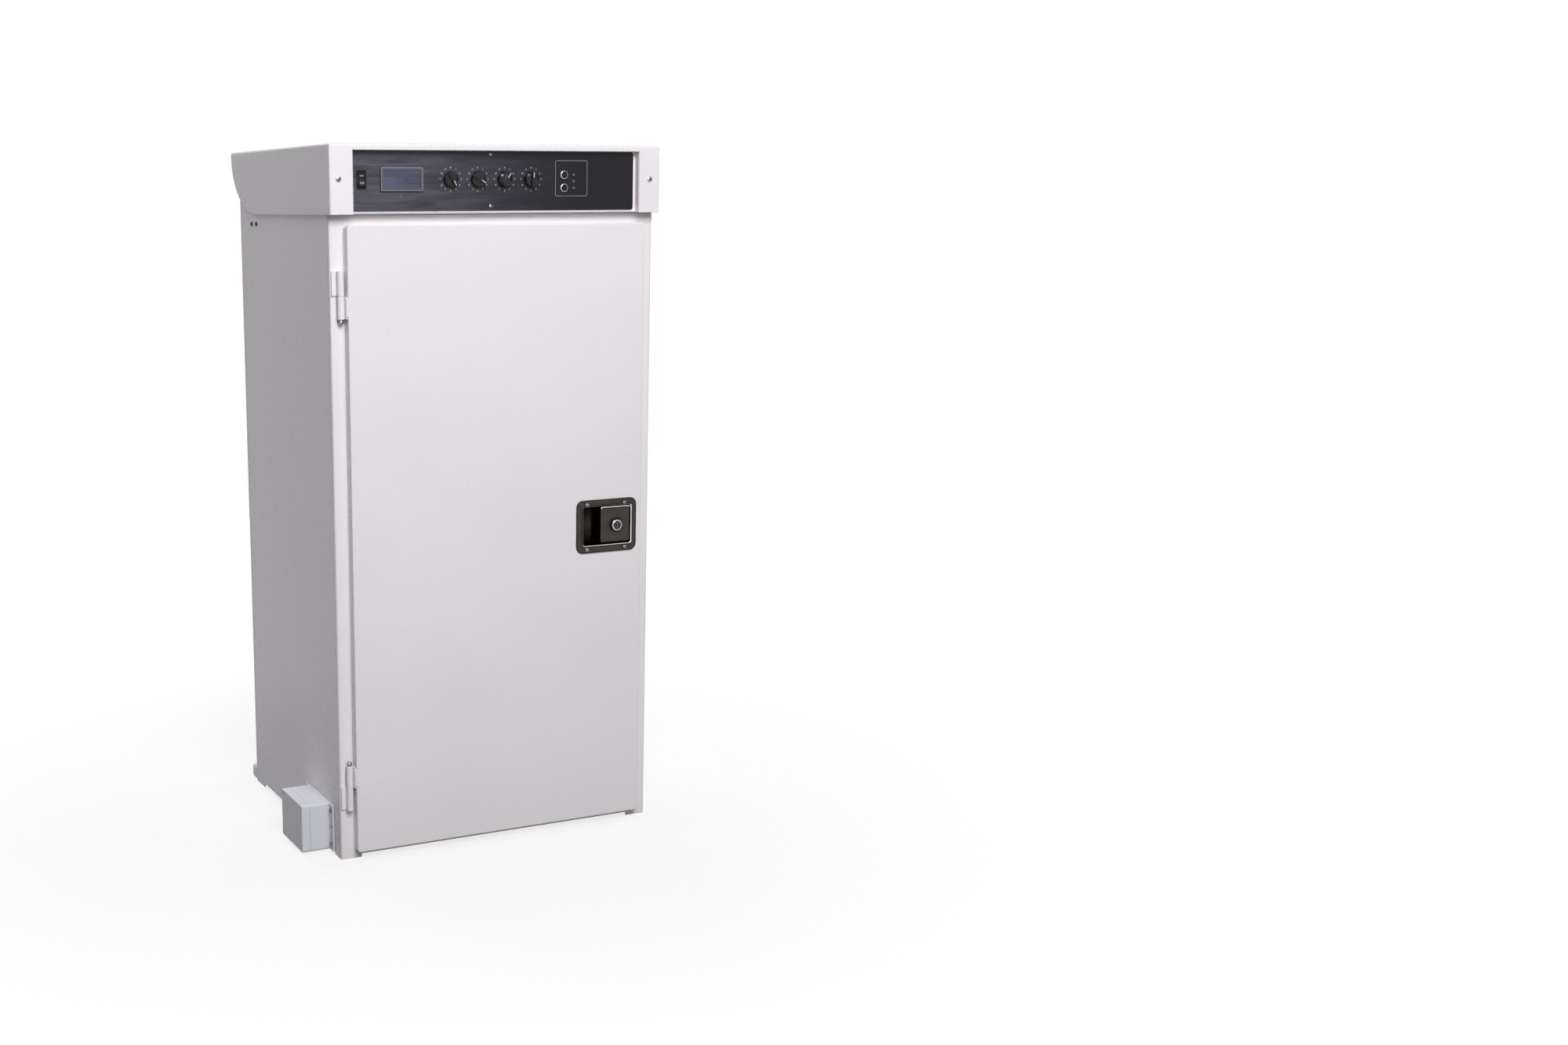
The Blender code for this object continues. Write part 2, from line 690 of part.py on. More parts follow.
def bend_corner(bm, chosen, radius, segments=3):
    """Round the chosen fold lines of an open surface."""
    edges = [edge for edge in bm.edges if not edge.is_boundary and chosen(edge)]
    bmesh.ops.bevel(bm, geom=edges, offset=radius, offset_type='OFFSET', segments=segments,
                    profile=0.5, affect='EDGES')


def cabinet_shell():
    """Make the folded front and rear frames and the flat side panels."""
    us = [-HALF_W, -HALF_W + FRONT_TAB_WIDTH, -DOORWAY_WIDTH / 2, DOORWAY_WIDTH / 2,
          HALF_W - FRONT_TAB_WIDTH, HALF_W]
    vs = [0.0, FRONT_TAB_HEIGHT, DOORWAY_BOTTOM, DOORWAY_TOP, BODY_HEIGHT]
    bm = grid_surface(us, vs, {(1, 0), (2, 0), (3, 0), (2, 2)})
    bmesh.ops.transform(bm, matrix=to_plane('XZ', FRONT_Y), verts=bm.verts)
    inside = lambda co: abs(co.x) < DOORWAY_WIDTH / 2 + 0.001 and co.z > DOORWAY_BOTTOM - 0.001 \
        and co.z < DOORWAY_TOP + 0.001 and near(co.y, FRONT_Y)
    fold(bm, inside, (0, DOORWAY_RETURN, 0))
    wrap_corners(bm, FRONT_Y, 1)
    face_out(bm, (0, -1, 0))
    keep(thicken(mesh_object("front_frame", bm), SHEET), "white_powder_coat")

    us = [-HALF_W, -WINDOW_WIDTH / 2, WINDOW_WIDTH / 2, HALF_W]
    vs = [0.0, FOOT_LIFT, WINDOW_BOTTOM, WINDOW_TOP, REAR_HEIGHT]
    bm = grid_surface(us, vs, {(1, 0), (1, 2)})
    bmesh.ops.transform(bm, matrix=to_plane('XZ', REAR_Y), verts=bm.verts)
    for level in (WINDOW_BOTTOM, WINDOW_TOP):
        lip = lambda co, level=level: near(co.z, level) and abs(co.x) < WINDOW_WIDTH / 2 + 0.001
        fold(bm, lip, (0, -WINDOW_RETURN, 0))
    wrap_corners(bm, REAR_Y, -1)
    face_out(bm, (0, 1, 0))
    keep(thicken(mesh_object("rear_frame", bm), SHEET), "white_powder_coat")

    front = FRONT_Y + CORNER_WRAP + CORNER_SEAM
    rear = REAR_Y - CORNER_WRAP - CORNER_SEAM
    heel = front + FRONT_FOOT
    toe = rear - REAR_FOOT
    side = [(front, 0.0), (heel, 0.0), (heel + FOOT_RAMP, FOOT_LIFT), (toe - FOOT_RAMP, FOOT_LIFT),
            (toe, 0.0), (rear, 0.0), (rear, REAR_HEIGHT), (SIDE_STEP_END, REAR_HEIGHT),
            (SIDE_STEP_START, BODY_HEIGHT + SIDE_TOP_LAP), (front, BODY_HEIGHT + SIDE_TOP_LAP)]
    for name, span in (("side_panel_left", (-HALF_W, -HALF_W + SHEET)),
                       ("side_panel_right", (HALF_W - SHEET, HALF_W))):
        keep(outline(name, [side], 'YZ', span), "white_powder_coat")

    back = FRONT_Y + DOORWAY_RETURN + SEAT
    for name, sign in (("liner_left", -1), ("liner_right", 1)):
        edges = sorted((sign * LINER_X, sign * (LINER_X + SHEET)))
        liner = box(name, edges, (back, REAR_Y - SHEET - SEAT), (FLOOR_HEIGHT + SHEET + SEAT, BODY_HEIGHT))
        keep(liner, "white_powder_coat")


def wrap_corners(bm, plane_y, direction):
    """Fold both outer edges of a frame round the cabinet's corners."""
    for sign in (-1, 1):
        edge = lambda co, sign=sign: near(co.x, sign * HALF_W) and near(co.y, plane_y)
        fold(bm, edge, (0, direction * CORNER_WRAP, 0))
    corner = lambda edge: all(near(abs(v.co.x), HALF_W) and near(v.co.y, plane_y) for v in edge.verts)
    bend_corner(bm, corner, CORNER_RADIUS)


def chamber_floor():
    """Make the floor pan, the single-point load cell and the weigh tray on it."""
    half = HALF_W - SHEET - SEAT
    floor = box("floor_pan", (-half, half), (FRONT_Y + DOORWAY_RETURN + 2 * SEAT, REAR_Y - WINDOW_RETURN),
                (FLOOR_HEIGHT, FLOOR_HEIGHT + SHEET))
    keep(floor, "zinc_steel")
    top = WINDOW_BOTTOM
    reach = WINDOW_WIDTH / 2 - SHEET
    front = FRONT_Y + DOORWAY_RETURN + SHEET
    rear = REAR_Y - WINDOW_RETURN - RUNNING_FIT
    bm = grid_surface([-reach, reach], [front, rear])
    bmesh.ops.translate(bm, vec=(0, 0, top), verts=bm.verts)
    fold(bm, lambda co: near(co.z, top), (0, 0, -TRAY_FLANGE))
    face_out(bm, (0, 0, 1))
    keep(thicken(mesh_object("weigh_tray", bm), SHEET), "stainless")
    low = FLOOR_HEIGHT + SHEET + SEAT
    high = top - SHEET - SEAT
    middle = (low + high) / 2
    y = (front + rear) / 2
    side = rectangle((y - CELL_LENGTH / 2, y + CELL_LENGTH / 2), (low, high))
    holes = [ring((y + shift, middle), CELL_HOLE, 12) for shift in (-CELL_HOLE * 1.6, CELL_HOLE * 1.6)]
    keep(outline("load_cell", [side] + holes, 'YZ', (-CELL_WIDTH / 2, CELL_WIDTH / 2)), "zinc_steel")


def hay_bale():
    """Stand the hay on the weigh tray: one body of three pressed flakes with a lumpy skin."""
    low = WINDOW_BOTTOM + SEAT
    span = (Vector((-LINER_X + HAY_GAP_LEFT, FRONT_Y + HAY_GAP_FRONT, low)),
            Vector((LINER_X - HAY_GAP_RIGHT, REAR_Y - WINDOW_RETURN - HAY_GAP_REAR, low + HAY_HEIGHT)))
    size = span[1] - span[0]
    bm = bmesh.new()
    bmesh.ops.create_cube(bm, size=1.0)
    bmesh.ops.subdivide_edges(bm, edges=bm.edges[:], cuts=HAY_CELLS - 1, use_grid_fill=True)
    core = size / 2 - Vector((HAY_ROUNDING,) * 3)
    for vert in bm.verts:
        place = Vector(vert.co[i] * size[i] for i in range(3))
        held = Vector(max(-core[i], min(core[i], place[i])) for i in range(3))
        out = (place - held).normalized() * HAY_ROUNDING
        level = (place.z / size.z + 0.5) * HAY_FLAKES
        pinch = abs(math.cos(math.pi * level)) ** 6
        wave = math.sin(61 * place.x + 37 * place.z) * math.sin(47 * place.y - 71 * place.z + 1.3)
        vert.co = held + out - out.normalized() * HAY_LUMP * (0.5 + 0.5 * wave)
        if 0.5 < level < HAY_FLAKES - 0.5:
            vert.co -= Vector((out.x, out.y, 0.0)) * (HAY_LUMP / HAY_ROUNDING) * pinch
    floor_line = min(vert.co.z for vert in bm.verts) + HAY_LUMP
    for vert in bm.verts:
        vert.co.z = max(vert.co.z, floor_line)
    lift = low - floor_line
    middle = (span[0] + span[1]) / 2
    bmesh.ops.translate(bm, vec=(middle.x, middle.y, lift), verts=bm.verts)
    bmesh.ops.recalc_face_normals(bm, faces=bm.faces)
    keep(mesh_object("hay_bale", bm), "dried_hay")


def window_rods():
    """Stand three rods in the hay window."""
    for name, place in (("rod_left", -1), ("rod_centre", 0), ("rod_right", 1)):
        x = place * ROD_SPACING
        y = REAR_Y - ROD_SETBACK
        rod = cylinder(name, ROD_DIAMETER / 2, (x, y, WINDOW_BOTTOM + SEAT), (x, y, WINDOW_TOP - SEAT), 16)
        keep(rod, "steel_rod")


def horse_side():
    """Make the cover, the rails above it, the feed door's guides, the sill and its end blocks."""
    half = COVER_WIDTH / 2
    path = [(-half, REAR_Y + SEAT), (-half, COVER_FACE), (half, COVER_FACE), (half, REAR_Y + SEAT)]
    path = fillet(path, COVER_CORNER, 3, closed=False)
    cover = sheet_run("cover_panel", path, 'XY', (COVER_BOTTOM, COVER_TOP), SHEET, (0, 1, 0))
    keep(cover, "white_powder_coat")

    inner = COVER_FACE - COVER_STAND_OFF - SHEET
    path = [(inner, CAP_BOTTOM), (COVER_FACE, CAP_BOTTOM), (COVER_FACE, CAP_TOP), (inner, CAP_TOP)]
    cap = sheet_run("cap_flange", fillet(path, 0.001, 2, closed=False, skip=()), 'YZ', (-half, half),
                    CAP_SHEET, (0, 1, 0))
    rail = box("hinge_rail", (-half, half), (COVER_FACE - HINGE_RAIL_DEPTH, COVER_FACE), (RAIL_BOTTOM, RAIL_TOP))
    neck = box("rail_neck", (RAIL_NECK_INSET - half, half - RAIL_NECK_INSET),
               (COVER_FACE - HINGE_RAIL_DEPTH + RAIL_NECK_INSET, COVER_FACE - RAIL_NECK_INSET),
               (CAP_TOP - CAP_SHEET / 2, RAIL_BOTTOM + RAIL_HEIGHT / 2))
    keep(join(cap, join(rail, neck)), "white_powder_coat")

    outer = half - SHEET - SEAT
    face = REAR_Y + GUIDE_STAND_OFF
    path = [(outer, REAR_Y + SEAT), (outer, face), (outer - GUIDE_WIDTH, face),
            (outer - GUIDE_WIDTH, REAR_Y + GUIDE_SLOT)]
    for name, sign in (("guide_left", -1), ("guide_right", 1)):
        mirrored = [(sign * u, v) for u, v in path]
        guide = sheet_run(name, fillet(mirrored, 0.0025, 2, closed=False), 'XY',
                          (BLOCK_HEIGHT + SEAT, REAR_HEIGHT - SHEET), SHEET, (0, 1, 0))
        keep(guide, "white_powder_coat")

    reach = outer - GUIDE_WIDTH - 0.0061
    low = 0.003
    section = [(REAR_Y + SEAT, low), (REAR_Y + SEAT + SILL_DEPTH, low),
               (REAR_Y + SEAT + SILL_DEPTH, SILL_HEIGHT), (REAR_Y + SEAT, SILL_HEIGHT)]
    sill = outline("sill", [fillet(section, SILL_NOSE, 5, skip=(0, 3))], 'YZ', (-reach, reach))
    keep(sill, "black_powder_coat")
    for name, sign in (("corner_block_left", -1), ("corner_block_right", 1)):
        edges = sorted((sign * (reach + SILL_GAP), sign * BLOCK_OUTER))
        block = outline(name, [block_outline(edges, sign)], 'XY', (0.0, BLOCK_HEIGHT))
        top_round(block)
        keep(block, "white_powder_coat")


def block_outline(edges, sign):
    """Plan of a corner block, round at its outer front corner."""
    back = REAR_Y + SEAT
    front = back + BLOCK_DEPTH
    points = [(edges[0], back), (edges[1], back), (edges[1], front), (edges[0], front)]
    return fillet(points, BLOCK_CORNER, 4, skip=(0, 1, 3) if sign > 0 else (0, 1, 2))


def top_round(block):
    """Round the block's top edge along its front and outer side."""
    bm = bmesh.new()
    bm.from_mesh(block.data)
    back = REAR_Y + SEAT
    inner = min(abs(v.co.x) for v in bm.verts)
    edges = [e for e in bm.edges if all(near(v.co.z, BLOCK_HEIGHT) for v in e.verts)
             and len(e.link_faces) == 2 and not all(near(v.co.y, back) for v in e.verts)
             and not all(near(abs(v.co.x), inner) for v in e.verts)
             and abs(e.link_faces[0].normal.dot(e.link_faces[1].normal)) < 0.5]
    bmesh.ops.bevel(bm, geom=edges, offset=BLOCK_CORNER * 0.8, offset_type='OFFSET', segments=3,
                    profile=0.5, affect='EDGES')
    bm.to_mesh(block.data)
    bm.free()


def feed_door():
    """Make the sliding feed door, its edge bar, and the screw drive that lifts it."""
    path = [(-FEED_PANEL_REACH, FEED_BACK), (-FEED_PANEL_REACH, FEED_FRONT),
            (FEED_PANEL_REACH, FEED_FRONT), (FEED_PANEL_REACH, FEED_BACK)]
    panel = sheet_run("feed_panel", path, 'XY', (FEED_BOTTOM, FEED_TOP), SHEET, (0, 1, 0))
    keep(panel, "white_powder_coat", "feed_door")
    reach = COVER_WIDTH / 2 - SHEET - SEAT - GUIDE_WIDTH - RUNNING_FIT * 2
    front = FEED_FRONT + SEAT + FEED_BAR_DEPTH
    top = FEED_BAR_BOTTOM + FEED_BAR_HEIGHT
    section = [(FEED_BACK, FEED_BAR_BOTTOM), (front - 0.004, FEED_BAR_BOTTOM), (front, FEED_BAR_BOTTOM + 0.004),
               (front, top - 0.004), (front - 0.004, top), (FEED_FRONT + SEAT, top),
               (FEED_FRONT + SEAT, FEED_BOTTOM - SEAT), (FEED_BACK, FEED_BOTTOM - SEAT)]
    bar = outline("feed_edge_bar", [section], 'YZ', (-reach, reach))
    keep(bar, "black_powder_coat", "feed_door")

    nut_front = SCREW_Y + SCREW_BORE + 0.005
    nut = outline("drive_nut", [rectangle((-NUT_WIDTH / 2, NUT_WIDTH / 2), (FEED_FRONT + SEAT, nut_front)),
                                ring((0.0, SCREW_Y), SCREW_BORE)], 'XY', (FEED_TOP - NUT_HEIGHT, FEED_TOP))
    keep(nut, "bronze", "feed_door")

    low = COVER_BOTTOM + BEARING_LIFT
    bearing = outline("lower_bearing",
                      [rectangle((-BEARING_WIDTH / 2, BEARING_WIDTH / 2),
                                 (FEED_FRONT + 0.0008, COVER_FACE - SHEET - SEAT)),
                       ring((0.0, SCREW_Y), SCREW_BORE)], 'XY', (low, low + BEARING_HEIGHT))
    keep(bearing, "bronze")

    screw = cylinder("lead_screw", SCREW_RADIUS, (0.0, SCREW_Y, COVER_BOTTOM + 0.0005),
                     (0.0, SCREW_Y, MOTOR_BOTTOM - SEAT), 16)
    keep(screw, "zinc_steel", "cabinet", (0.0, SCREW_Y, COVER_BOTTOM))

    back = REAR_Y + SEAT
    shelf = outline("motor_mount", [rectangle((-MOUNT_WIDTH / 2, MOUNT_WIDTH / 2),
                                              (back, SCREW_Y + MOTOR_RADIUS)),
                                    ring((0.0, SCREW_Y), SCREW_BORE + RUNNING_FIT)],
                    'XY', (MOUNT_BOTTOM, MOUNT_BOTTOM + MOUNT_SHEET))
    web = box("motor_web", (-MOUNT_WIDTH / 2, MOUNT_WIDTH / 2), (back, back + MOUNT_SHEET),
              (MOUNT_BOTTOM + MOUNT_SHEET / 2, MOUNT_BOTTOM + MOUNT_HEIGHT))
    keep(join(shelf, web), "zinc_steel")
    gear_top = MOTOR_BOTTOM + GEARBOX_HEIGHT
    motor_top = gear_top + MOTOR_HEIGHT
    motor = turned("gearmotor", [(0.0, motor_top), (MOTOR_RADIUS * 0.30, motor_top),
                                 (MOTOR_RADIUS * 0.30, motor_top - 0.003), (MOTOR_RADIUS * 0.88, motor_top - 0.003),
                                 (MOTOR_RADIUS * 0.88, gear_top), (MOTOR_RADIUS, gear_top),
                                 (MOTOR_RADIUS, MOTOR_BOTTOM), (0.0, MOTOR_BOTTOM)], (0.0, SCREW_Y, 0.0))
    keep(motor, "zinc_steel")


def service_door():
    """Make the door pan, its two lift-off hinges and the paddle latch."""
    half = DOOR_WIDTH / 2
    bm = grid_surface([-half, half], [DOOR_BOTTOM, DOOR_TOP])
    bmesh.ops.transform(bm, matrix=to_plane('XZ', DOOR_FACE), verts=bm.verts)
    fold(bm, lambda co: near(co.y, DOOR_FACE), (0, DOOR_STAND_OFF - SEAT, 0))
    upright = lambda edge: not near(edge.verts[0].co.y, edge.verts[1].co.y)
    bend_corner(bm, upright, DOOR_CORNER, 4)
    rim = lambda edge: all(near(v.co.y, DOOR_FACE) for v in edge.verts)
    bend_corner(bm, rim, SHEET, 2)
    face_out(bm, (0, -1, 0))
    door = thicken(mesh_object("door_pan", bm), THIN_SHEET)
    play = DISH_CLEARANCE
    hole = box("latch_hole", (DISH_X0 - play, DISH_X1 + play), (DOOR_FACE - 0.01, DOOR_FACE + 0.01),
               (DISH_Z0 - play, DISH_Z1 + play))
    keep(cut(door, hole), "white_powder_coat", "service_door")

    barrel = ring((HINGE_X, HINGE_Y), BARREL_RADIUS, 16)
    bore = ring((HINGE_X, HINGE_Y), HINGE_PIN_RADIUS + RUNNING_FIT / 2, 12)
    side = -half - SEAT
    tab_front = HINGE_Y - 0.010
    door_tab = [(side - 0.0027, tab_front), (side, tab_front), (side, HINGE_Y + 0.003), (side - 0.0027, HINGE_Y + 0.003)]
    plate = FRONT_Y - SEAT
    frame_tab = [(HINGE_X - 0.0135, plate - 0.0025), (HINGE_X + 0.001, plate - 0.0025), (HINGE_X + 0.001, plate),
                 (HINGE_X - 0.0135, plate)]
    upper = UPPER_HINGE_TOP
    lower = LOWER_HINGE_BOTTOM
    knuckles = (
        ("frame_hinge_upper", frame_tab, (upper - FRAME_KNUCKLE, upper), "cabinet"),
        ("door_hinge_upper", door_tab, (upper - FRAME_KNUCKLE - SEAT - DOOR_KNUCKLE, upper - FRAME_KNUCKLE - SEAT),
         "service_door"),
        ("door_hinge_lower", door_tab, (lower + FRAME_KNUCKLE + SEAT, lower + FRAME_KNUCKLE + SEAT + DOOR_KNUCKLE),
         "service_door"),
        ("frame_hinge_lower", frame_tab, (lower, lower + FRAME_KNUCKLE), "cabinet"),
    )
    ball = [(0.0, 0.0), (HINGE_BALL * 0.7, HINGE_BALL * 0.3), (HINGE_BALL, HINGE_BALL),
            (HINGE_BALL * 0.7, HINGE_BALL * 1.7), (HINGE_PIN_RADIUS, HINGE_BALL * 2)]
    length = HINGE_BALL * 2 + DOOR_KNUCKLE + 0.001 + FRAME_KNUCKLE / 2
    pin = ball + [(HINGE_PIN_RADIUS, length), (0.0, length)]
    for name, tab, span, body in knuckles:
        knuckle = outline(name, [barrel], 'XY', span)
        leaf = outline(name + "_leaf", [tab], 'XY', (span[0] + 0.0006, span[1] - 0.0006))
        join(knuckle, leaf)
        if body == "service_door":
            cut(knuckle, outline(name + "_bore", [bore], 'XY', (span[0] - 0.001, span[1] + 0.001)))
        else:
            points_down = span[1] == upper
            middle = sum(span) / 2
            start = middle - length if points_down else middle + length
            profile = [(radius, height if points_down else -height) for radius, height in pin]
            profile = profile[::-1] if points_down else profile
            join(knuckle, turned(name + "_pin", profile, (HINGE_X, HINGE_Y, start), sides=12))
        keep(knuckle, "white_powder_coat", body)
    paddle_latch()


def paddle_latch():
    """Make the recessed paddle latch: pressed dish, paddle, lock plug and slide bolt."""
    left = LATCH_X - LATCH_WIDTH / 2
    right = LATCH_X + LATCH_WIDTH / 2
    low = LATCH_Z - LATCH_HEIGHT / 2
    high = LATCH_Z + LATCH_HEIGHT / 2
    overlap = THIN_SHEET / 2
    plate = outline("latch_dish", [rectangle((left, right), (low, high), LATCH_CORNER, 4),
                                   rectangle((DISH_X0 + overlap, DISH_X1 - overlap),
                                             (DISH_Z0 + overlap, DISH_Z1 - overlap))],
                    'XZ', (DISH_FACE, DISH_FACE + THIN_SHEET))
    bm = grid_surface([DISH_X0, DISH_X1], [DISH_Z0, DISH_Z1])
    bmesh.ops.transform(bm, matrix=to_plane('XZ', DISH_BACK), verts=bm.verts)
    fold(bm, lambda co: near(co.y, DISH_BACK), (0, -DISH_DEPTH + THIN_SHEET / 2, 0))
    face_out(bm, (0, 1, 0))
    dish = thicken(mesh_object("latch_pressing", bm), THIN_SHEET)
    keep(join(plate, dish), "black_plastic", "service_door")

    x1 = DISH_X1 - THIN_SHEET - PADDLE_GAP / 2
    x0 = x1 - PADDLE_WIDTH
    z0 = DISH_Z0 + THIN_SHEET + PADDLE_GAP
    z1 = DISH_Z1 - THIN_SHEET - PADDLE_GAP
    bm = grid_surface([x0, x1], [z0, z1])
    bmesh.ops.transform(bm, matrix=to_plane('XZ', DISH_FACE), verts=bm.verts)
    fold(bm, lambda co: near(co.y, DISH_FACE), (0, PADDLE_LIP, 0))
    upright = lambda edge: not near(edge.verts[0].co.y, edge.verts[1].co.y)
    bend_corner(bm, upright, 0.004, 3)
    rim = lambda edge: all(near(v.co.y, DISH_FACE) for v in edge.verts)
    bend_corner(bm, rim, 0.002, 2)
    face_out(bm, (0, -1, 0))
    paddle = thicken(mesh_object("paddle", bm), THIN_SHEET)
    pivot = (x1 - PADDLE_PIVOT_IN, DISH_FACE + PADDLE_PIVOT_DEPTH, LATCH_Z)
    pin = cylinder("paddle_pin", PADDLE_PIN, (pivot[0], pivot[1], DISH_Z0 + THIN_SHEET + SEAT),
                   (pivot[0], pivot[1], DISH_Z1 - THIN_SHEET - SEAT), 10)
    join(paddle, pin)
    hole = cylinder("lock_hole", LOCK_BARREL + 0.0005, (LOCK_X, DISH_FACE - 0.01, LATCH_Z),
                    (LOCK_X, DISH_FACE + 0.01, LATCH_Z), 16)
    keep(cut(paddle, hole), "black_plastic", "service_door", pivot)

    profile = [(0.0, LOCK_PROUD), (LOCK_RADIUS * 0.72, LOCK_PROUD), (LOCK_RADIUS * 0.78, LOCK_PROUD * 0.86),
               (LOCK_RADIUS * 0.92, LOCK_PROUD * 0.80), (LOCK_RADIUS, LOCK_PROUD * 0.55), (LOCK_RADIUS, SEAT),
               (LOCK_BARREL, SEAT), (LOCK_BARREL, -0.012), (0.0, -0.012)]
    plug = turned("lock_plug", profile, (LOCK_X, DISH_FACE, LATCH_Z), 'Y', 16)
    slot = box("key_slot", (LOCK_X - 0.0006, LOCK_X + 0.0006), (DISH_FACE - LOCK_PROUD - 0.001, DISH_FACE - LOCK_PROUD + 0.003),
               (LATCH_Z - 0.0042, LATCH_Z + 0.0042))
    keep(cut(plug, slot), "chrome", "service_door", (LOCK_X, DISH_FACE, LATCH_Z))

    tip = DOORWAY_WIDTH / 2 - BOLT_SHORT
    y0 = DISH_BACK + SEAT
    section = [(tip - BOLT_LENGTH, y0), (tip, y0), (tip, y0 + BOLT_THICKNESS * 0.4),
               (tip - BOLT_THICKNESS * 0.6, y0 + BOLT_THICKNESS), (tip - BOLT_LENGTH, y0 + BOLT_THICKNESS)]
    bolt = outline("latch_bolt", [section], 'XY', (LATCH_Z - BOLT_HEIGHT / 2, LATCH_Z + BOLT_HEIGHT / 2))
    keep(bolt, "zinc_steel", "service_door", (tip, y0, LATCH_Z))


def hood():
    """Make the hood shell: top, front border and cheeks with their curved rear edge."""
    bm = bmesh.new()
    bmesh.ops.create_cube(bm, size=1.0)
    bmesh.ops.scale(bm, vec=(2 * HOOD_X, HOOD_BACK - HOOD_FACE, HOOD_TOP - BODY_HEIGHT), verts=bm.verts)
    middle = (0.0, (HOOD_BACK + HOOD_FACE) / 2, (HOOD_TOP + BODY_HEIGHT) / 2)
    bmesh.ops.translate(bm, vec=middle, verts=bm.verts)
    bm.normal_update()
    gone = [face for face in bm.faces if face.normal.z < -0.5 or face.normal.y > 0.5]
    bmesh.ops.delete(bm, geom=gone, context='FACES')
    bend_corner(bm, lambda edge: True, HOOD_RADIUS, 3)
    face_out(bm, (0, 0, 1))
    shell = thicken(mesh_object("hood_shell", bm), SHEET)
    opening = box("hood_opening", (-HOOD_X + FRONT_RETURN, HOOD_X - FRONT_RETURN),
                  (HOOD_FACE - 0.02, HOOD_FACE + SHEET + 0.006), (BODY_HEIGHT - 0.02, HOOD_TOP - TOP_LIP))
    start = HOOD_BACK - CHEEK_RUN
    curve = []
    for step in range(CHEEK_STEPS + 1):
        angle = math.pi / 2 * step / CHEEK_STEPS
        curve.append((start + CHEEK_RUN * math.sin(angle), BODY_HEIGHT + CHEEK_RISE * (1 - math.cos(angle))))
    clear = [(HOOD_BACK + 0.02, BODY_HEIGHT + CHEEK_RISE), (HOOD_BACK + 0.02, BODY_HEIGHT - 0.02),
             (start, BODY_HEIGHT - 0.02)]
    sweep = outline("cheek_cut", [curve + clear], 'YZ', (-HOOD_X - 0.02, HOOD_X + 0.02))
    keep(cut(cut(shell, opening), sweep), "white_powder_coat", "hood")


def piano_leaf(name, sign, first, finish, body):
    """Roll one leaf of the piano hinge: a flat strip whose every second tooth curls round the pin.

    The leaf is one open surface. Its strip runs the whole length, and its curl is kept only
    where this leaf's own knuckles lie, so the two leaves interleave with a small gap.
    """
    middle_radius = PIANO_RADIUS - PIANO_SHEET / 2
    strip_z = sign * middle_radius
    path = [(-PIANO_LEAF, strip_z), (-PIANO_RADIUS * 1.25, strip_z), (0.0, strip_z)]
    for step in range(1, PIANO_CURL_STEPS + 1):
        angle = math.radians(295.0) * step / PIANO_CURL_STEPS
        path.append((middle_radius * math.sin(angle), strip_z * math.cos(angle)))
    stations = []
    for index in range(PIANO_COUNT):
        low = -PIANO_LENGTH / 2 + PIANO_PITCH * index
        own = index % 2 == first
        inset = PIANO_GAP / 2 if own else -PIANO_GAP / 2
        at_start = index == 0
        at_end = index == PIANO_COUNT - 1
        x0 = low if at_start else low + inset
        x1 = low + PIANO_PITCH if at_end else low + PIANO_PITCH - inset
        stations.append((x0, x1, own))
    bm = bmesh.new()
    rows = {}
    for x0, x1, own in stations:
        for x in (x0, x1):
            key = round(x * 1e6)
            if key not in rows:
                rows[key] = [bm.verts.new((x, PIANO_Y + u, PIANO_Z + v)) for u, v in path]
    for x0, x1, own in stations:
        start, end = rows[round(x0 * 1e6)], rows[round(x1 * 1e6)]
        last = len(path) if own else 2
        for i in range(last - 1):
            bm.faces.new((start[i], end[i], end[i + 1], start[i + 1]))
    loose = [v for v in bm.verts if not v.link_faces]
    bmesh.ops.delete(bm, geom=loose, context='VERTS')
    bmesh.ops.recalc_face_normals(bm, faces=bm.faces)
    keep(thicken(mesh_object(name, bm), PIANO_SHEET, 0.0), finish, body)


def piano_hinge():
    """Make the full-length hinge that carries the hood."""
    piano_leaf("piano_leaf_cabinet", -1, 0, "stainless", "cabinet")
    piano_leaf("piano_leaf_hood", 1, 1, "stainless", "hood")
    pin = cylinder("piano_pin", PIANO_PIN_RADIUS, (-PIANO_LENGTH / 2 - 0.001, PIANO_Y, PIANO_Z),
                   (PIANO_LENGTH / 2 + 0.001, PIANO_Y, PIANO_Z), 10)
    keep(pin, "stainless")


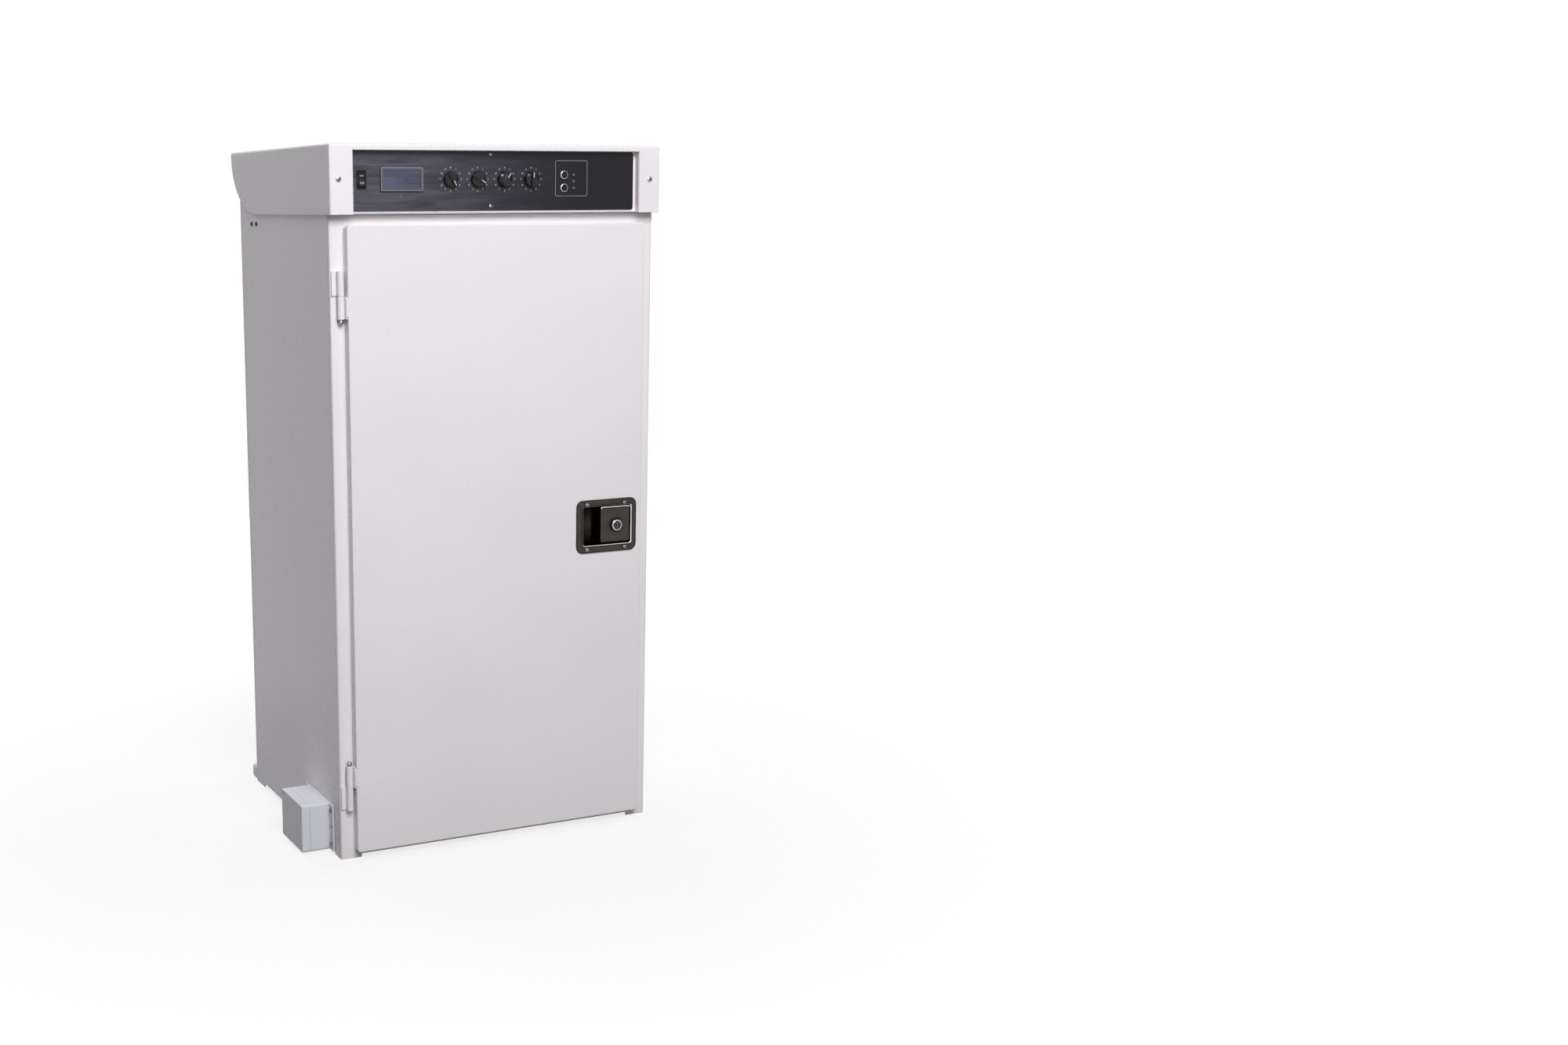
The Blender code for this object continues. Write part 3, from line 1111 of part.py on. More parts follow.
def control_panel():
    """Make the recessed tray, its overlay, the display, dials, rocker, buttons and board."""
    side = HOOD_X - FRONT_RETURN - TRAY_SIDE_GAP
    rim = HOOD_FACE + SHEET + SEAT
    bm = grid_surface([-side, side], [TRAY_BOTTOM, TRAY_TOP])
    bmesh.ops.transform(bm, matrix=to_plane('XZ', TRAY_FACE), verts=bm.verts)
    fold(bm, lambda co: near(co.y, TRAY_FACE), (0, rim - TRAY_FACE, 0))
    for sign in (-1, 1):
        edge = lambda co, sign=sign: near(co.y, rim) and near(co.x, sign * side)
        fold(bm, edge, (sign * TRAY_FLANGE_WIDTH, 0, 0))
    face_out(bm, (0, -1, 0))
    tray = thicken(mesh_object("control_tray", bm), SHEET)

    dials = [(DIAL_FIRST + DIAL_PITCH * i, DIAL_ROW) for i in range(len(DIAL_ANGLES))]
    buttons = [(BUTTON_X, row) for row in BUTTON_ROWS]
    deep = (TRAY_FACE - 0.01, TRAY_FACE + 0.01)
    for i, (x, z) in enumerate(dials):
        cut(tray, cylinder("shaft_hole_%d" % i, SHAFT_HOLE, (x, deep[0], z), (x, deep[1], z), 12))
    for i, (x, z) in enumerate(buttons):
        cut(tray, cylinder("button_hole_%d" % i, BUTTON_HOLE, (x, deep[0], z), (x, deep[1], z), 12))
    inner_w = ROCKER_WIDTH / 2 - ROCKER_RIM + 0.0012
    inner_h = ROCKER_HEIGHT / 2 - ROCKER_RIM + 0.0012
    window = ((ROCKER_X - inner_w, ROCKER_X + inner_w), (ROCKER_ROW - inner_h, ROCKER_ROW + inner_h))
    cut(tray, box("rocker_cut", window[0], deep, window[1]))
    keep(tray, "white_powder_coat", "hood")

    corners = [(-OVERLAY_LEFT, OVERLAY_BOTTOM), (OVERLAY_RIGHT, OVERLAY_BOTTOM),
               (OVERLAY_RIGHT, OVERLAY_TOP), (-OVERLAY_LEFT, OVERLAY_TOP)]
    loops = [fillet(corners, OVERLAY_CORNER, 3), rectangle(*window)]
    loops += [ring(spot, SHAFT_HOLE, 12) for spot in dials]
    loops += [ring(spot, BUTTON_HOLE, 12) for spot in buttons]
    overlay = outline("overlay", loops, 'XZ', (OVERLAY_FACE, OVERLAY_FACE + OVERLAY_SHEET))
    keep(overlay, "black_overlay", "hood")

    knob_seat = OVERLAY_FACE - SEAT
    board_face = TRAY_BACK + BOARD_GAP
    shaft_end = board_face - SEAT
    profile = [(0.0, KNOB_HEIGHT * 0.72), (KNOB_RADIUS * 0.62, KNOB_HEIGHT * 0.66),
               (KNOB_RADIUS * 0.90, KNOB_BASE), (KNOB_RADIUS, KNOB_BASE * 0.55), (KNOB_RADIUS, 0.0),
               (SHAFT_RADIUS, 0.0), (SHAFT_RADIUS, knob_seat - shaft_end), (0.0, knob_seat - shaft_end)]
    grip = fillet([(-KNOB_GRIP / 2, -KNOB_RADIUS * 0.93), (KNOB_GRIP / 2, -KNOB_RADIUS * 0.93),
                   (KNOB_GRIP * 0.32, KNOB_RADIUS * 0.99), (-KNOB_GRIP * 0.32, KNOB_RADIUS * 0.99)], 0.0012, 2)
    for i, ((x, z), angle) in enumerate(zip(dials, DIAL_ANGLES)):
        name = "knob_%d" % (i + 1)
        knob = turned(name, profile, (0.0, 0.0, 0.0), 'Y', 20)
        bar = outline(name + "_grip", [grip], 'XZ', (-KNOB_HEIGHT, -KNOB_BASE * 0.4))
        turn = Matrix.Translation((x, knob_seat, z)) @ Matrix.Rotation(math.radians(angle), 4, 'Y')
        for piece in (knob, bar):
            piece.data.transform(turn)
        keep(join(knob, bar), "black_plastic", "hood", (x, knob_seat, z))

    for i, (x, z) in enumerate(buttons):
        front = OVERLAY_FACE - BUTTON_PROUD
        profile = [(0.0, 0.0), (BUTTON_RADIUS * 0.8, 0.0), (BUTTON_RADIUS, -0.0008),
                   (BUTTON_RADIUS, -BUTTON_LENGTH), (0.0, -BUTTON_LENGTH)]
        button = turned("push_button_%d" % (i + 1), profile, (x, front, z), 'Y', 16)
        keep(button, "black_plastic", "hood", (x, front, z))

    bezel_face = OVERLAY_FACE - SEAT - BEZEL_PROUD
    rim_box = box("rocker_bezel", (ROCKER_X - ROCKER_WIDTH / 2, ROCKER_X + ROCKER_WIDTH / 2),
                  (bezel_face, OVERLAY_FACE - SEAT), (ROCKER_ROW - ROCKER_HEIGHT / 2, ROCKER_ROW + ROCKER_HEIGHT / 2))
    tub_w = inner_w - SEAT
    tub_h = inner_h - SEAT
    tub = box("rocker_tub", (ROCKER_X - tub_w, ROCKER_X + tub_w), (bezel_face + BEZEL_PROUD / 2, bezel_face + ROCKER_TUB),
              (ROCKER_ROW - tub_h, ROCKER_ROW + tub_h))
    well_w = ROCKER_WIDTH / 2 - ROCKER_RIM
    well_h = ROCKER_HEIGHT / 2 - ROCKER_RIM
    well = box("rocker_well", (ROCKER_X - well_w, ROCKER_X + well_w), (bezel_face - 0.01, bezel_face + ROCKER_TUB - 0.0015),
               (ROCKER_ROW - well_h, ROCKER_ROW + well_h))
    keep(cut(join(rim_box, tub), well), "black_plastic", "hood")
    swing = math.radians(ROCKER_TILT)
    tall = well_h - 0.0012
    rise = tall * math.tan(swing)
    hinge_y = bezel_face + 0.002
    section = [(hinge_y + 0.006, -tall * 0.55), (hinge_y + 0.006, tall * 0.55), (hinge_y + 0.001, tall),
               (hinge_y - 0.0005 - 2 * rise, tall), (hinge_y - 0.0010, 0.0), (hinge_y - 0.0005 - 2 * rise, -tall),
               (hinge_y + 0.001, -tall)]
    rocker = outline("rocker", [[(y, ROCKER_ROW + z) for y, z in section]], 'YZ',
                     (ROCKER_X - well_w + 0.0004, ROCKER_X + well_w - 0.0004))
    pivot = Vector((ROCKER_X, hinge_y, ROCKER_ROW))
    tilt = Matrix.Translation(pivot) @ Matrix.Rotation(-swing, 4, 'X') @ Matrix.Translation(-pivot)
    rocker.data.transform(tilt)
    keep(rocker, "black_plastic", "hood", pivot)

    face = OVERLAY_FACE - SEAT - DISPLAY_PROUD
    frame = box("display_bezel", (DISPLAY_X - DISPLAY_WIDTH / 2, DISPLAY_X + DISPLAY_WIDTH / 2),
                (face, OVERLAY_FACE - SEAT), (DISPLAY_ROW - DISPLAY_HEIGHT / 2, DISPLAY_ROW + DISPLAY_HEIGHT / 2))
    glass_w = DISPLAY_WIDTH / 2 - DISPLAY_RIM
    glass_h = DISPLAY_HEIGHT / 2 - DISPLAY_RIM
    recess = DISPLAY_GLASS + SEAT + 0.001
    pocket = box("display_pocket", (DISPLAY_X - glass_w, DISPLAY_X + glass_w), (face - 0.01, face + recess),
                 (DISPLAY_ROW - glass_h, DISPLAY_ROW + glass_h))
    keep(cut(frame, pocket), "black_plastic", "hood")
    glass = box("display_glass", (DISPLAY_X - glass_w + SEAT, DISPLAY_X + glass_w - SEAT),
                (face + recess - SEAT - DISPLAY_GLASS, face + recess - SEAT),
                (DISPLAY_ROW - glass_h + SEAT, DISPLAY_ROW + glass_h - SEAT))
    keep(glass, "display_glass", "hood")

    board = box("circuit_board", (BOARD_LEFT, BOARD_RIGHT), (board_face, board_face + BOARD_SHEET),
                (BOARD_BOTTOM, BOARD_TOP))
    for i, x in enumerate((BOARD_LEFT + STANDOFF_INSET, BOARD_RIGHT - STANDOFF_INSET)):
        for j, z in enumerate((BOARD_BOTTOM + STANDOFF_INSET, BOARD_TOP - STANDOFF_INSET)):
            post = cylinder("standoff_%d%d" % (i, j), STANDOFF_RADIUS, (x, TRAY_BACK + SEAT, z),
                            (x, board_face + BOARD_SHEET / 2, z), 8)
            join(board, post)
    keep(board, "circuit_green", "hood")


def draw_latch():
    """Make the draw latch on the +X side: pad, bracket, lever, hook and the hood's keeper."""
    y0 = DRAW_Y - DRAW_PAD_WIDTH / 2
    y1 = DRAW_Y + DRAW_PAD_WIDTH / 2
    pad = outline("draw_latch_pad", [rectangle((y0, y1), (DRAW_PAD_BOTTOM, DRAW_PAD_TOP), DRAW_PAD_CORNER, 3)],
                  'YZ', (HALF_W + SEAT, PAD_FACE))
    keep(pad, "black_rubber")
    base = PAD_FACE + SEAT
    half = DRAW_PLATE_WIDTH / 2
    plate = box("draw_latch_bracket", (base, base + DRAW_PLATE), (DRAW_Y - half, DRAW_Y + half),
                (DRAW_PAD_BOTTOM + DRAW_PAD_CORNER, DRAW_PAD_TOP - DRAW_PAD_CORNER))
    ear_shape = fillet([(base + DRAW_PLATE / 2, DRAW_PIVOT_Z - DRAW_EAR_RADIUS),
                        (DRAW_X + DRAW_EAR_RADIUS * 0.55, DRAW_PIVOT_Z - DRAW_EAR_RADIUS),
                        (DRAW_X + DRAW_EAR_RADIUS * 0.55, DRAW_PIVOT_Z + DRAW_EAR_RADIUS * 0.7),
                        (base + DRAW_PLATE / 2, DRAW_PIVOT_Z + DRAW_EAR_RADIUS)], 0.0015, 2, skip=(0, 3))
    for i, sign in enumerate((-1, 1)):
        edges = sorted((DRAW_Y + sign * half, DRAW_Y + sign * (half - DRAW_PLATE)))
        join(plate, outline("draw_ear_%d" % i, [ear_shape], 'XZ', edges))
    span = LEVER_WIDTH / 2
    pin = cylinder("draw_pivot", DRAW_PIN_RADIUS, (DRAW_X, DRAW_Y - span, DRAW_PIVOT_Z),
                   (DRAW_X, DRAW_Y + span, DRAW_PIVOT_Z), 12)
    keep(join(plate, pin), "stainless")

    back = LEVER_FACE - LEVER_DEPTH
    path = [(back, DRAW_Y - span), (LEVER_FACE, DRAW_Y - span), (LEVER_FACE, DRAW_Y + span), (back, DRAW_Y + span)]
    lever = sheet_run("draw_lever", fillet(path, 0.002, 2, closed=False), 'XY', (LEVER_SKIRT, LEVER_TOP),
                      DRAW_PLATE, (1, 0, 0))
    reach = span - 0.002
    tongue_shape = fillet([(DRAW_Y - reach, LEVER_TIP), (DRAW_Y + reach, LEVER_TIP),
                           (DRAW_Y + reach, LEVER_SKIRT + 0.004), (DRAW_Y - reach, LEVER_SKIRT + 0.004)],
                          reach * TONGUE_ROUND, 4, skip=(2, 3))
    tongue = outline("lever_tongue", [tongue_shape], 'YZ', (LEVER_FACE - DRAW_PLATE * 0.98, LEVER_FACE - DRAW_PLATE * 0.02))
    join(lever, tongue)
    open_to = DRAW_PLATE_WIDTH / 2 + LEVER_NOTCH_CLEARANCE
    cut(lever, box("lever_notch", (back + DRAW_PLATE, LEVER_FACE + DRAW_PLATE), (DRAW_Y - open_to, DRAW_Y + open_to),
                   (DRAW_PIVOT_Z - LEVER_NOTCH, LEVER_TOP + DRAW_PLATE)))
    hole = cylinder("lever_hole", LEVER_HOLE, (LEVER_FACE - 0.006, DRAW_Y, LEVER_HOLE_Z),
                    (LEVER_FACE + 0.006, DRAW_Y, LEVER_HOLE_Z), 16)
    bore = DRAW_PIN_RADIUS + RUNNING_FIT / 2
    for name, x, z in (("pivot_bore", DRAW_X, DRAW_PIVOT_Z), ("hook_bore", HOOK_PIN_X, HOOK_PIN_Z)):
        cut(lever, cylinder(name, bore, (x, DRAW_Y - 0.03, z), (x, DRAW_Y + 0.03, z), 12))
    keep(cut(lever, hole), "stainless", "cabinet", (DRAW_X, DRAW_Y, DRAW_PIVOT_Z))

    arm_in = span + HOOK_GAP
    arm_out = arm_in + DRAW_PLATE
    face = LEVER_FACE + HOOK_GAP + DRAW_PLATE
    lip = KEEPER_TIP + KEEPER_CLEAR
    arm = [(HOOK_PIN_X - 0.0045, HOOK_PIN_Z - 0.0045), (HOOK_PIN_X + 0.0045, HOOK_PIN_Z - 0.0045),
           (face, HOOK_BOTTOM), (face, HOOK_TOP - 0.006), (face - 0.006, HOOK_TOP), (lip, HOOK_TOP),
           (lip, HOOK_TOP - 0.004), (face - HOOK_ARM, HOOK_TOP - 0.010), (HOOK_PIN_X - 0.0045, HOOK_PIN_Z + 0.0045)]
    hook = outline("draw_hook", [arm], 'XZ', (DRAW_Y - arm_out, DRAW_Y - arm_in))
    join(hook, outline("hook_arm", [arm], 'XZ', (DRAW_Y + arm_in, DRAW_Y + arm_out)))
    path = [(face, HOOK_BOTTOM), (face, HOOK_TOP), (lip, HOOK_TOP)]
    web_path = fillet(path, 0.005, 3, closed=False)
    web = sheet_run("hook_web", web_path, 'XZ', (DRAW_Y - arm_out + 0.0002, DRAW_Y + arm_out - 0.0002),
                    DRAW_PLATE, (1, 0, 0))
    join(hook, web)
    pin = cylinder("hook_pin", DRAW_PIN_RADIUS, (HOOK_PIN_X, DRAW_Y - arm_out - 0.0008, HOOK_PIN_Z),
                   (HOOK_PIN_X, DRAW_Y + arm_out + 0.0008, HOOK_PIN_Z), 12)
    keep(join(hook, pin), "stainless", "cabinet", (HOOK_PIN_X, DRAW_Y, HOOK_PIN_Z))

    inner = HOOD_X + SEAT
    ledge = HOOK_TOP - 2 * DRAW_PLATE - HOOK_LIFT
    path = [(inner + DRAW_PLATE, KEEPER_BOTTOM), (inner + DRAW_PLATE, ledge), (KEEPER_TIP, ledge)]
    keeper = sheet_run("hood_keeper", path, 'XZ', (DRAW_Y - half, DRAW_Y + half), DRAW_PLATE, (1, 0, 0))
    keep(keeper, "stainless", "hood")


def power_enclosure():
    """Make the wall box of the power supply: a box with slotted ears, and its lid."""
    outer = BOX_FACE - BOX_DEPTH
    bm = grid_surface([BOX_FRONT, BOX_BACK], [BOX_BOTTOM, BOX_TOP])
    bmesh.ops.transform(bm, matrix=to_plane('YZ', BOX_FACE), verts=bm.verts)
    fold(bm, lambda co: near(co.x, BOX_FACE), (-BOX_DEPTH, 0, 0))
    corner = lambda edge: not near(edge.verts[0].co.x, edge.verts[1].co.x)
    bend_corner(bm, corner, BOX_CORNER, 3)
    face_out(bm, (1, 0, 0))
    shell = thicken(mesh_object("enclosure_box", bm), BOX_WALL)
    for i, (edge, sign) in enumerate(((BOX_FRONT, -1), (BOX_BACK, 1))):
        tip = edge + sign * EAR_LENGTH
        edges = sorted((edge - sign * BOX_WALL * 0.4, tip))
        loops = [rectangle(edges, (BOX_BOTTOM + 0.001, BOX_TOP - 0.001), 0.0016, 2)]
        middle = edge + sign * (EAR_LENGTH * 0.45)
        for level in EAR_SLOT_LEVELS:
            z = BOX_BOTTOM + (BOX_TOP - BOX_BOTTOM) * level
            loops.append(rectangle((middle - EAR_SLOT_LENGTH / 2, middle + EAR_SLOT_LENGTH / 2),
                                   (z - EAR_SLOT / 2, z + EAR_SLOT / 2)))
        join(shell, outline("ear_%d" % i, loops, 'YZ', (BOX_FACE - EAR_SHEET, BOX_FACE - 0.0002)))
    keep(shell, "grey_plastic")

    inner = outer - SEAT
    bm = grid_surface([BOX_FRONT, BOX_BACK], [BOX_BOTTOM, BOX_TOP])
    bmesh.ops.transform(bm, matrix=to_plane('YZ', inner - LID_DEPTH), verts=bm.verts)
    fold(bm, lambda co: near(co.x, inner - LID_DEPTH), (LID_DEPTH, 0, 0))
    bend_corner(bm, corner, BOX_CORNER, 3)
    rim = lambda edge: all(near(v.co.x, inner - LID_DEPTH) for v in edge.verts)
    bend_corner(bm, rim, 0.002, 2)
    face_out(bm, (-1, 0, 0))
    lid = thicken(mesh_object("enclosure_lid", bm), BOX_WALL)
    face = inner - LID_DEPTH
    for y in (BOX_FRONT + LID_SCREW_INSET, BOX_BACK - LID_SCREW_INSET):
        for z in (BOX_BOTTOM + LID_SCREW_INSET, BOX_TOP - LID_SCREW_INSET):
            cut(lid, cylinder("lid_screw_recess", LID_RECESS_RADIUS, (face - LID_RECESS, y, z),
                              (face + LID_RECESS, y, z), 12))
    keep(lid, "grey_plastic")


cabinet_shell()
chamber_floor()
hay_bale()
window_rods()
horse_side()
feed_door()
service_door()
hood()
piano_hinge()
control_panel()
draw_latch()
power_enclosure()
bpy.context.view_layer.update()
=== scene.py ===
"""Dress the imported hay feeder: its finishes, fasteners, marks and hay, and the studio round it.

Sizes are millimetres in the maker's own frame, whose origin is the middle of the cabinet at
floor level. The service side looks towards -Y and the horse side towards +Y.
"""

import json
import logging
import math
import random
from collections.abc import Callable, Iterable
from dataclasses import dataclass
from enum import Enum

import bmesh
import bpy
from mathutils import Matrix, Vector

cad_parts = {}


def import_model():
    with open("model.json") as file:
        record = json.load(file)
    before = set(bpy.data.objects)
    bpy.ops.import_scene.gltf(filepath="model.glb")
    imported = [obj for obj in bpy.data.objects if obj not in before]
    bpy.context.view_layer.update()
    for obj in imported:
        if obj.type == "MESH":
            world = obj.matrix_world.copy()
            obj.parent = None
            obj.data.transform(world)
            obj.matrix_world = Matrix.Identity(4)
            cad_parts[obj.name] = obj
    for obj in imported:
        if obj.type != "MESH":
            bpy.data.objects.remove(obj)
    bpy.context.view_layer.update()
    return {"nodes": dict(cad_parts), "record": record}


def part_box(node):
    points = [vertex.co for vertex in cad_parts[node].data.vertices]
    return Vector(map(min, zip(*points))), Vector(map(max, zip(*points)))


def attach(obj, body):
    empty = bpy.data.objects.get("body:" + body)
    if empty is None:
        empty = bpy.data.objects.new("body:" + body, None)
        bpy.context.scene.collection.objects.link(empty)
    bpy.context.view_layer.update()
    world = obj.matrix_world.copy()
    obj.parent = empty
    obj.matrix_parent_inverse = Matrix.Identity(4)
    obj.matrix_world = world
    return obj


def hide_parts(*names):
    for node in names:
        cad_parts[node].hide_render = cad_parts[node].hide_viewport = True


BMesh = bmesh.types.BMesh
Mesh = bpy.types.Mesh
Node = bpy.types.Node
NodeTree = bpy.types.NodeTree
Object = bpy.types.Object
Socket = bpy.types.NodeSocket
Pair = tuple[float, float]
Triple = tuple[float, float, float]
Box = tuple[float, float, float, float]
Spots = Iterable[tuple[Matrix, float]]

LOG = logging.getLogger("hay_feeder")
MM = 0.001
METRE = 1000
FRONT_SHEET_Y = -243.0
# Angles in degrees above which an edge stays sharp, on hard pieces and on strands
CREASE = 40.0
NO_CREASE = 180.0
QUARTER = math.pi / 2


class Facing(Enum):
    """Which way a fitting looks: its outward direction and its upward one."""

    SERVICE = ((0, -1, 0), (0, 0, 1))
    HORSE = ((0, 1, 0), (0, 0, 1))
    LEFT = ((-1, 0, 0), (0, 0, 1))
    RIGHT = ((1, 0, 0), (0, 0, 1))
    UP = ((0, 0, 1), (0, 1, 0))


class Recess(Enum):
    """A screw's driver recess: its reach across and along, as shares of the head's grid."""

    CROSS = (0.1, 0.7)
    SOCKET = (0.4, 0.4)


def linear(code: str) -> Box:
    """Turn an sRGB hex code into a linear colour.

    Args:
        code: the colour as '#rrggbb'.

    Returns:
        Red, green, blue and an alpha of 1.
    """
    values = [int(code[i:i + 2], 16) / 255 for i in (1, 3, 5)]
    red, green, blue = [v / 12.92 if v <= 0.04045 else ((v + 0.055) / 1.055) ** 2.4 for v in values]
    return red, green, blue, 1.0


def add_node(tree: NodeTree, kind: str, settings: dict | None = None, links: dict | None = None) -> Node:
    """Add one node with its settings and links.

    Args:
        tree: the node tree.
        kind: its type after 'ShaderNode'.
        settings: values by socket or property; 'stops' fills a colour ramp.
        links: the node or output that feeds each socket.

    Returns:
        The new node.
    """
    node = tree.nodes.new("ShaderNode" + kind)
    for key, value in (settings or {}).items():
        if key == "stops":
            elements = node.color_ramp.elements
            while len(elements) < len(value):
                elements.new(0.5)
            for element, (position, code) in zip(elements, value):
                element.position = position
                element.color = linear(code)
        elif isinstance(key, int) or key in node.inputs:
            node.inputs[key].default_value = value
        else:
            setattr(node, key, value)
    for key, source in (links or {}).items():
        tree.links.new(source.outputs[0] if isinstance(source, Node) else source, node.inputs[key])
    return node


def rays_that_see(tree: NodeTree, path: Node) -> Socket:
    """Add up the rays that see the background: straight, in a gloss and through a glass.

    Args:
        tree: the node tree.
        path: its light path node.

    Returns:
        The output that gives 1 for such a ray.
    """
    seen = path.outputs["Is Camera Ray"]
    for kind in ("Is Glossy Ray", "Is Transmission Ray"):
        seen = add_node(tree, "Math", {"operation": 'MAXIMUM'}, {0: seen, 1: path.outputs[kind]}).outputs[0]
    return seen


@dataclass(frozen=True)
class Surface:
    """What all finishes share: a name, a slot of the part's table and a material built once."""

    name: str
    slot: str

    def material(self) -> bpy.types.Material:
        """Fetch the material, and build it when it is new.

        Returns:
            The material.
        """
        made = bpy.data.materials.get(self.name)
        if not made:
            made = bpy.data.materials.new(self.name)
            made.use_nodes = True
            tree = made.node_tree
            tree.nodes.clear()
            place = add_node(tree, "TexCoord").outputs["Object"]
            add_node(tree, "OutputMaterial", {}, {"Surface": self.shader(tree, place)})
        return made

    def shader(self, tree: NodeTree, place: Socket) -> Node:
        """Build the finish's nodes; each kind has its own.

        Args:
            tree: the node tree.
            place: the place on the piece.

        Returns:
            The shader.
        """
        raise NotImplementedError


@dataclass(frozen=True)
class Finish(Surface):
    """One surface as its maker made it, drawn by a slow tone, a fine relief and uneven gloss, and, where
    asked, painted shade in its hollows.
    """

    colour: str
    second: str
    roughness: float
    metallic: float = 0.0
    ior: float = 1.5
    tone_mm: float = 240.0
    relief_mm: float = 2.5
    relief_depth: float = 0.02
    gloss_spread: float = 0.04
    grain: Triple = (1.0, 1.0, 1.0)
    grime: str = ""
    grime_mm: float = 9.0
    grime_reach: Pair = (0.25, 0.80)
    glow: float = 0.0

    def shader(self, tree: NodeTree, place: Socket) -> Node:
        """Build the nodes of the finish.

        Args:
            tree: the node tree.
            place: the place on the piece.

        Returns:
            The shader.
        """
        grain = add_node(tree, "Mapping", {"Scale": self.grain}, {"Vector": place})
        tone = add_node(tree, "TexNoise", {"Scale": METRE / self.tone_mm, "Detail": 3.0}, {"Vector": grain})
        colour = add_node(
            tree, "ValToRGB", {"stops": [(0.30, self.second), (0.70, self.colour)]}, {"Fac": tone})
        # Painted shade: ambient occlusion darkens hollows, creases and corners towards the shade colour
        if self.grime:
            dark, unshaded = self.grime_reach
            hollow = add_node(tree, "AmbientOcclusion", {"Distance": self.grime_mm * MM, "samples": 8})
            depth = add_node(tree, "ValToRGB", {"stops": [(dark, "#000000"), (unshaded, "#ffffff")]},
                             {"Fac": hollow.outputs["AO"]})
            colour = add_node(
                tree, "MixRGB", {"Color1": linear(self.grime)}, {"Fac": depth, "Color2": colour})
        relief = add_node(
            tree, "TexNoise", {"Scale": METRE / self.relief_mm, "Detail": 2.0}, {"Vector": grain})
        bump = add_node(
            tree, "Bump", {"Strength": 0.6, "Distance": self.relief_depth * MM}, {"Height": relief})
        gloss = add_node(tree, "MapRange", {"To Min": max(self.roughness - self.gloss_spread, 0.02),
                                            "To Max": self.roughness + self.gloss_spread}, {"Value": relief})
        settings = {"Metallic": self.metallic}
        if not self.metallic:
            settings["IOR"] = self.ior
        if self.glow:
            settings.update({"Emission Color": linear(self.colour), "Emission Strength": self.glow})
        return add_node(
            tree, "BsdfPrincipled", settings, {"Base Color": colour, "Roughness": gloss, "Normal": bump})


@dataclass(frozen=True)
class HazedFilm(Surface):
    """A glossy printed film with fine scratches: pale streaks along them, painted reflection of light, that
    thicken to one end.
    """

    colour: str
    dust: str
    clear_from: float
    hazy_to: float
    streak_mm: float = 160.0
    streak_slope: float = 0.16
    swell_mm: float = 60.0

    def shader(self, tree: NodeTree, place: Socket) -> Node:
        """Build the nodes of the film.

        Args:
            tree: the node tree.
            place: the place on the piece.

        Returns:
            The shader.
        """
        along = add_node(tree, "SeparateXYZ", {}, {0: place})
        reach = add_node(
            tree, "MapRange", {"From Min": self.clear_from * MM, "From Max": self.hazy_to * MM, "To Min": 0.0,
                               "To Max": 1.0, "interpolation_type": 'SMOOTHSTEP'},
            {"Value": along.outputs["X"]})
        flat = add_node(
            tree, "Mapping", {"Scale": (1.0, 1.0, 9.0), "Rotation": (0.0, self.streak_slope, 0.0)},
            {"Vector": place})
        wipe = add_node(
            tree, "TexNoise", {"Scale": METRE / self.streak_mm, "Detail": 6.0, "Roughness": 0.66,
                               "Distortion": 1.3}, {"Vector": flat})
        wisps = add_node(tree, "ValToRGB", {"stops": [(0.30, "#848484"), (0.72, "#ffffff")]}, {"Fac": wipe})
        share = add_node(tree, "Math", {"operation": 'MULTIPLY'}, {0: reach, 1: wisps})
        # Painted reflection: the scratches' pale sheen, mixed in where the streaks are strong
        colour = add_node(
            tree, "MixRGB", {"Color1": linear(self.colour), "Color2": linear(self.dust)}, {"Fac": share})
        gloss = add_node(tree, "MapRange", {"To Min": 0.08, "To Max": 0.30}, {"Value": share})
        swell = add_node(tree, "TexNoise", {"Scale": METRE / self.swell_mm}, {"Vector": place})
        bump = add_node(tree, "Bump", {"Strength": 0.25, "Distance": 0.2 * MM}, {"Height": swell})
        return add_node(tree, "BsdfPrincipled", {"IOR": 1.30},
                        {"Base Color": colour, "Roughness": gloss, "Normal": bump})


@dataclass(frozen=True)
class HayFinish(Surface):
    """Dried grass: matt straw and leaf, each strand with its own tint held in an attribute."""

    stops: tuple[tuple[float, str], ...]
    patch_mm: float = 70.0
    fibre_mm: float = 1.5

    def shader(self, tree: NodeTree, place: Socket) -> Node:
        """Build the nodes of the grass.

        Args:
            tree: the node tree.
            place: the place on the piece.

        Returns:
            The shader.
        """
        tint = add_node(tree, "Attribute", {"attribute_name": "tint"})
        patch = add_node(
            tree, "TexNoise", {"Scale": METRE / self.patch_mm, "Detail": 2.0}, {"Vector": place})
        shift = add_node(
            tree, "MapRange", {"From Min": 0.3, "From Max": 0.7, "To Min": -0.15, "To Max": 0.29},
            {"Value": patch})
        total = add_node(
            tree, "Math", {"operation": 'ADD', "use_clamp": True}, {0: tint.outputs["Fac"], 1: shift})
        colour = add_node(tree, "ValToRGB", {"stops": self.stops}, {"Fac": total})
        fibre = add_node(tree, "TexNoise", {"Scale": METRE / self.fibre_mm}, {"Vector": place})
        bump = add_node(tree, "Bump", {"Strength": 0.5, "Distance": 0.1 * MM}, {"Height": fibre})
        return add_node(
            tree, "BsdfPrincipled", {"Roughness": 0.62, "IOR": 1.4}, {"Base Color": colour, "Normal": bump})


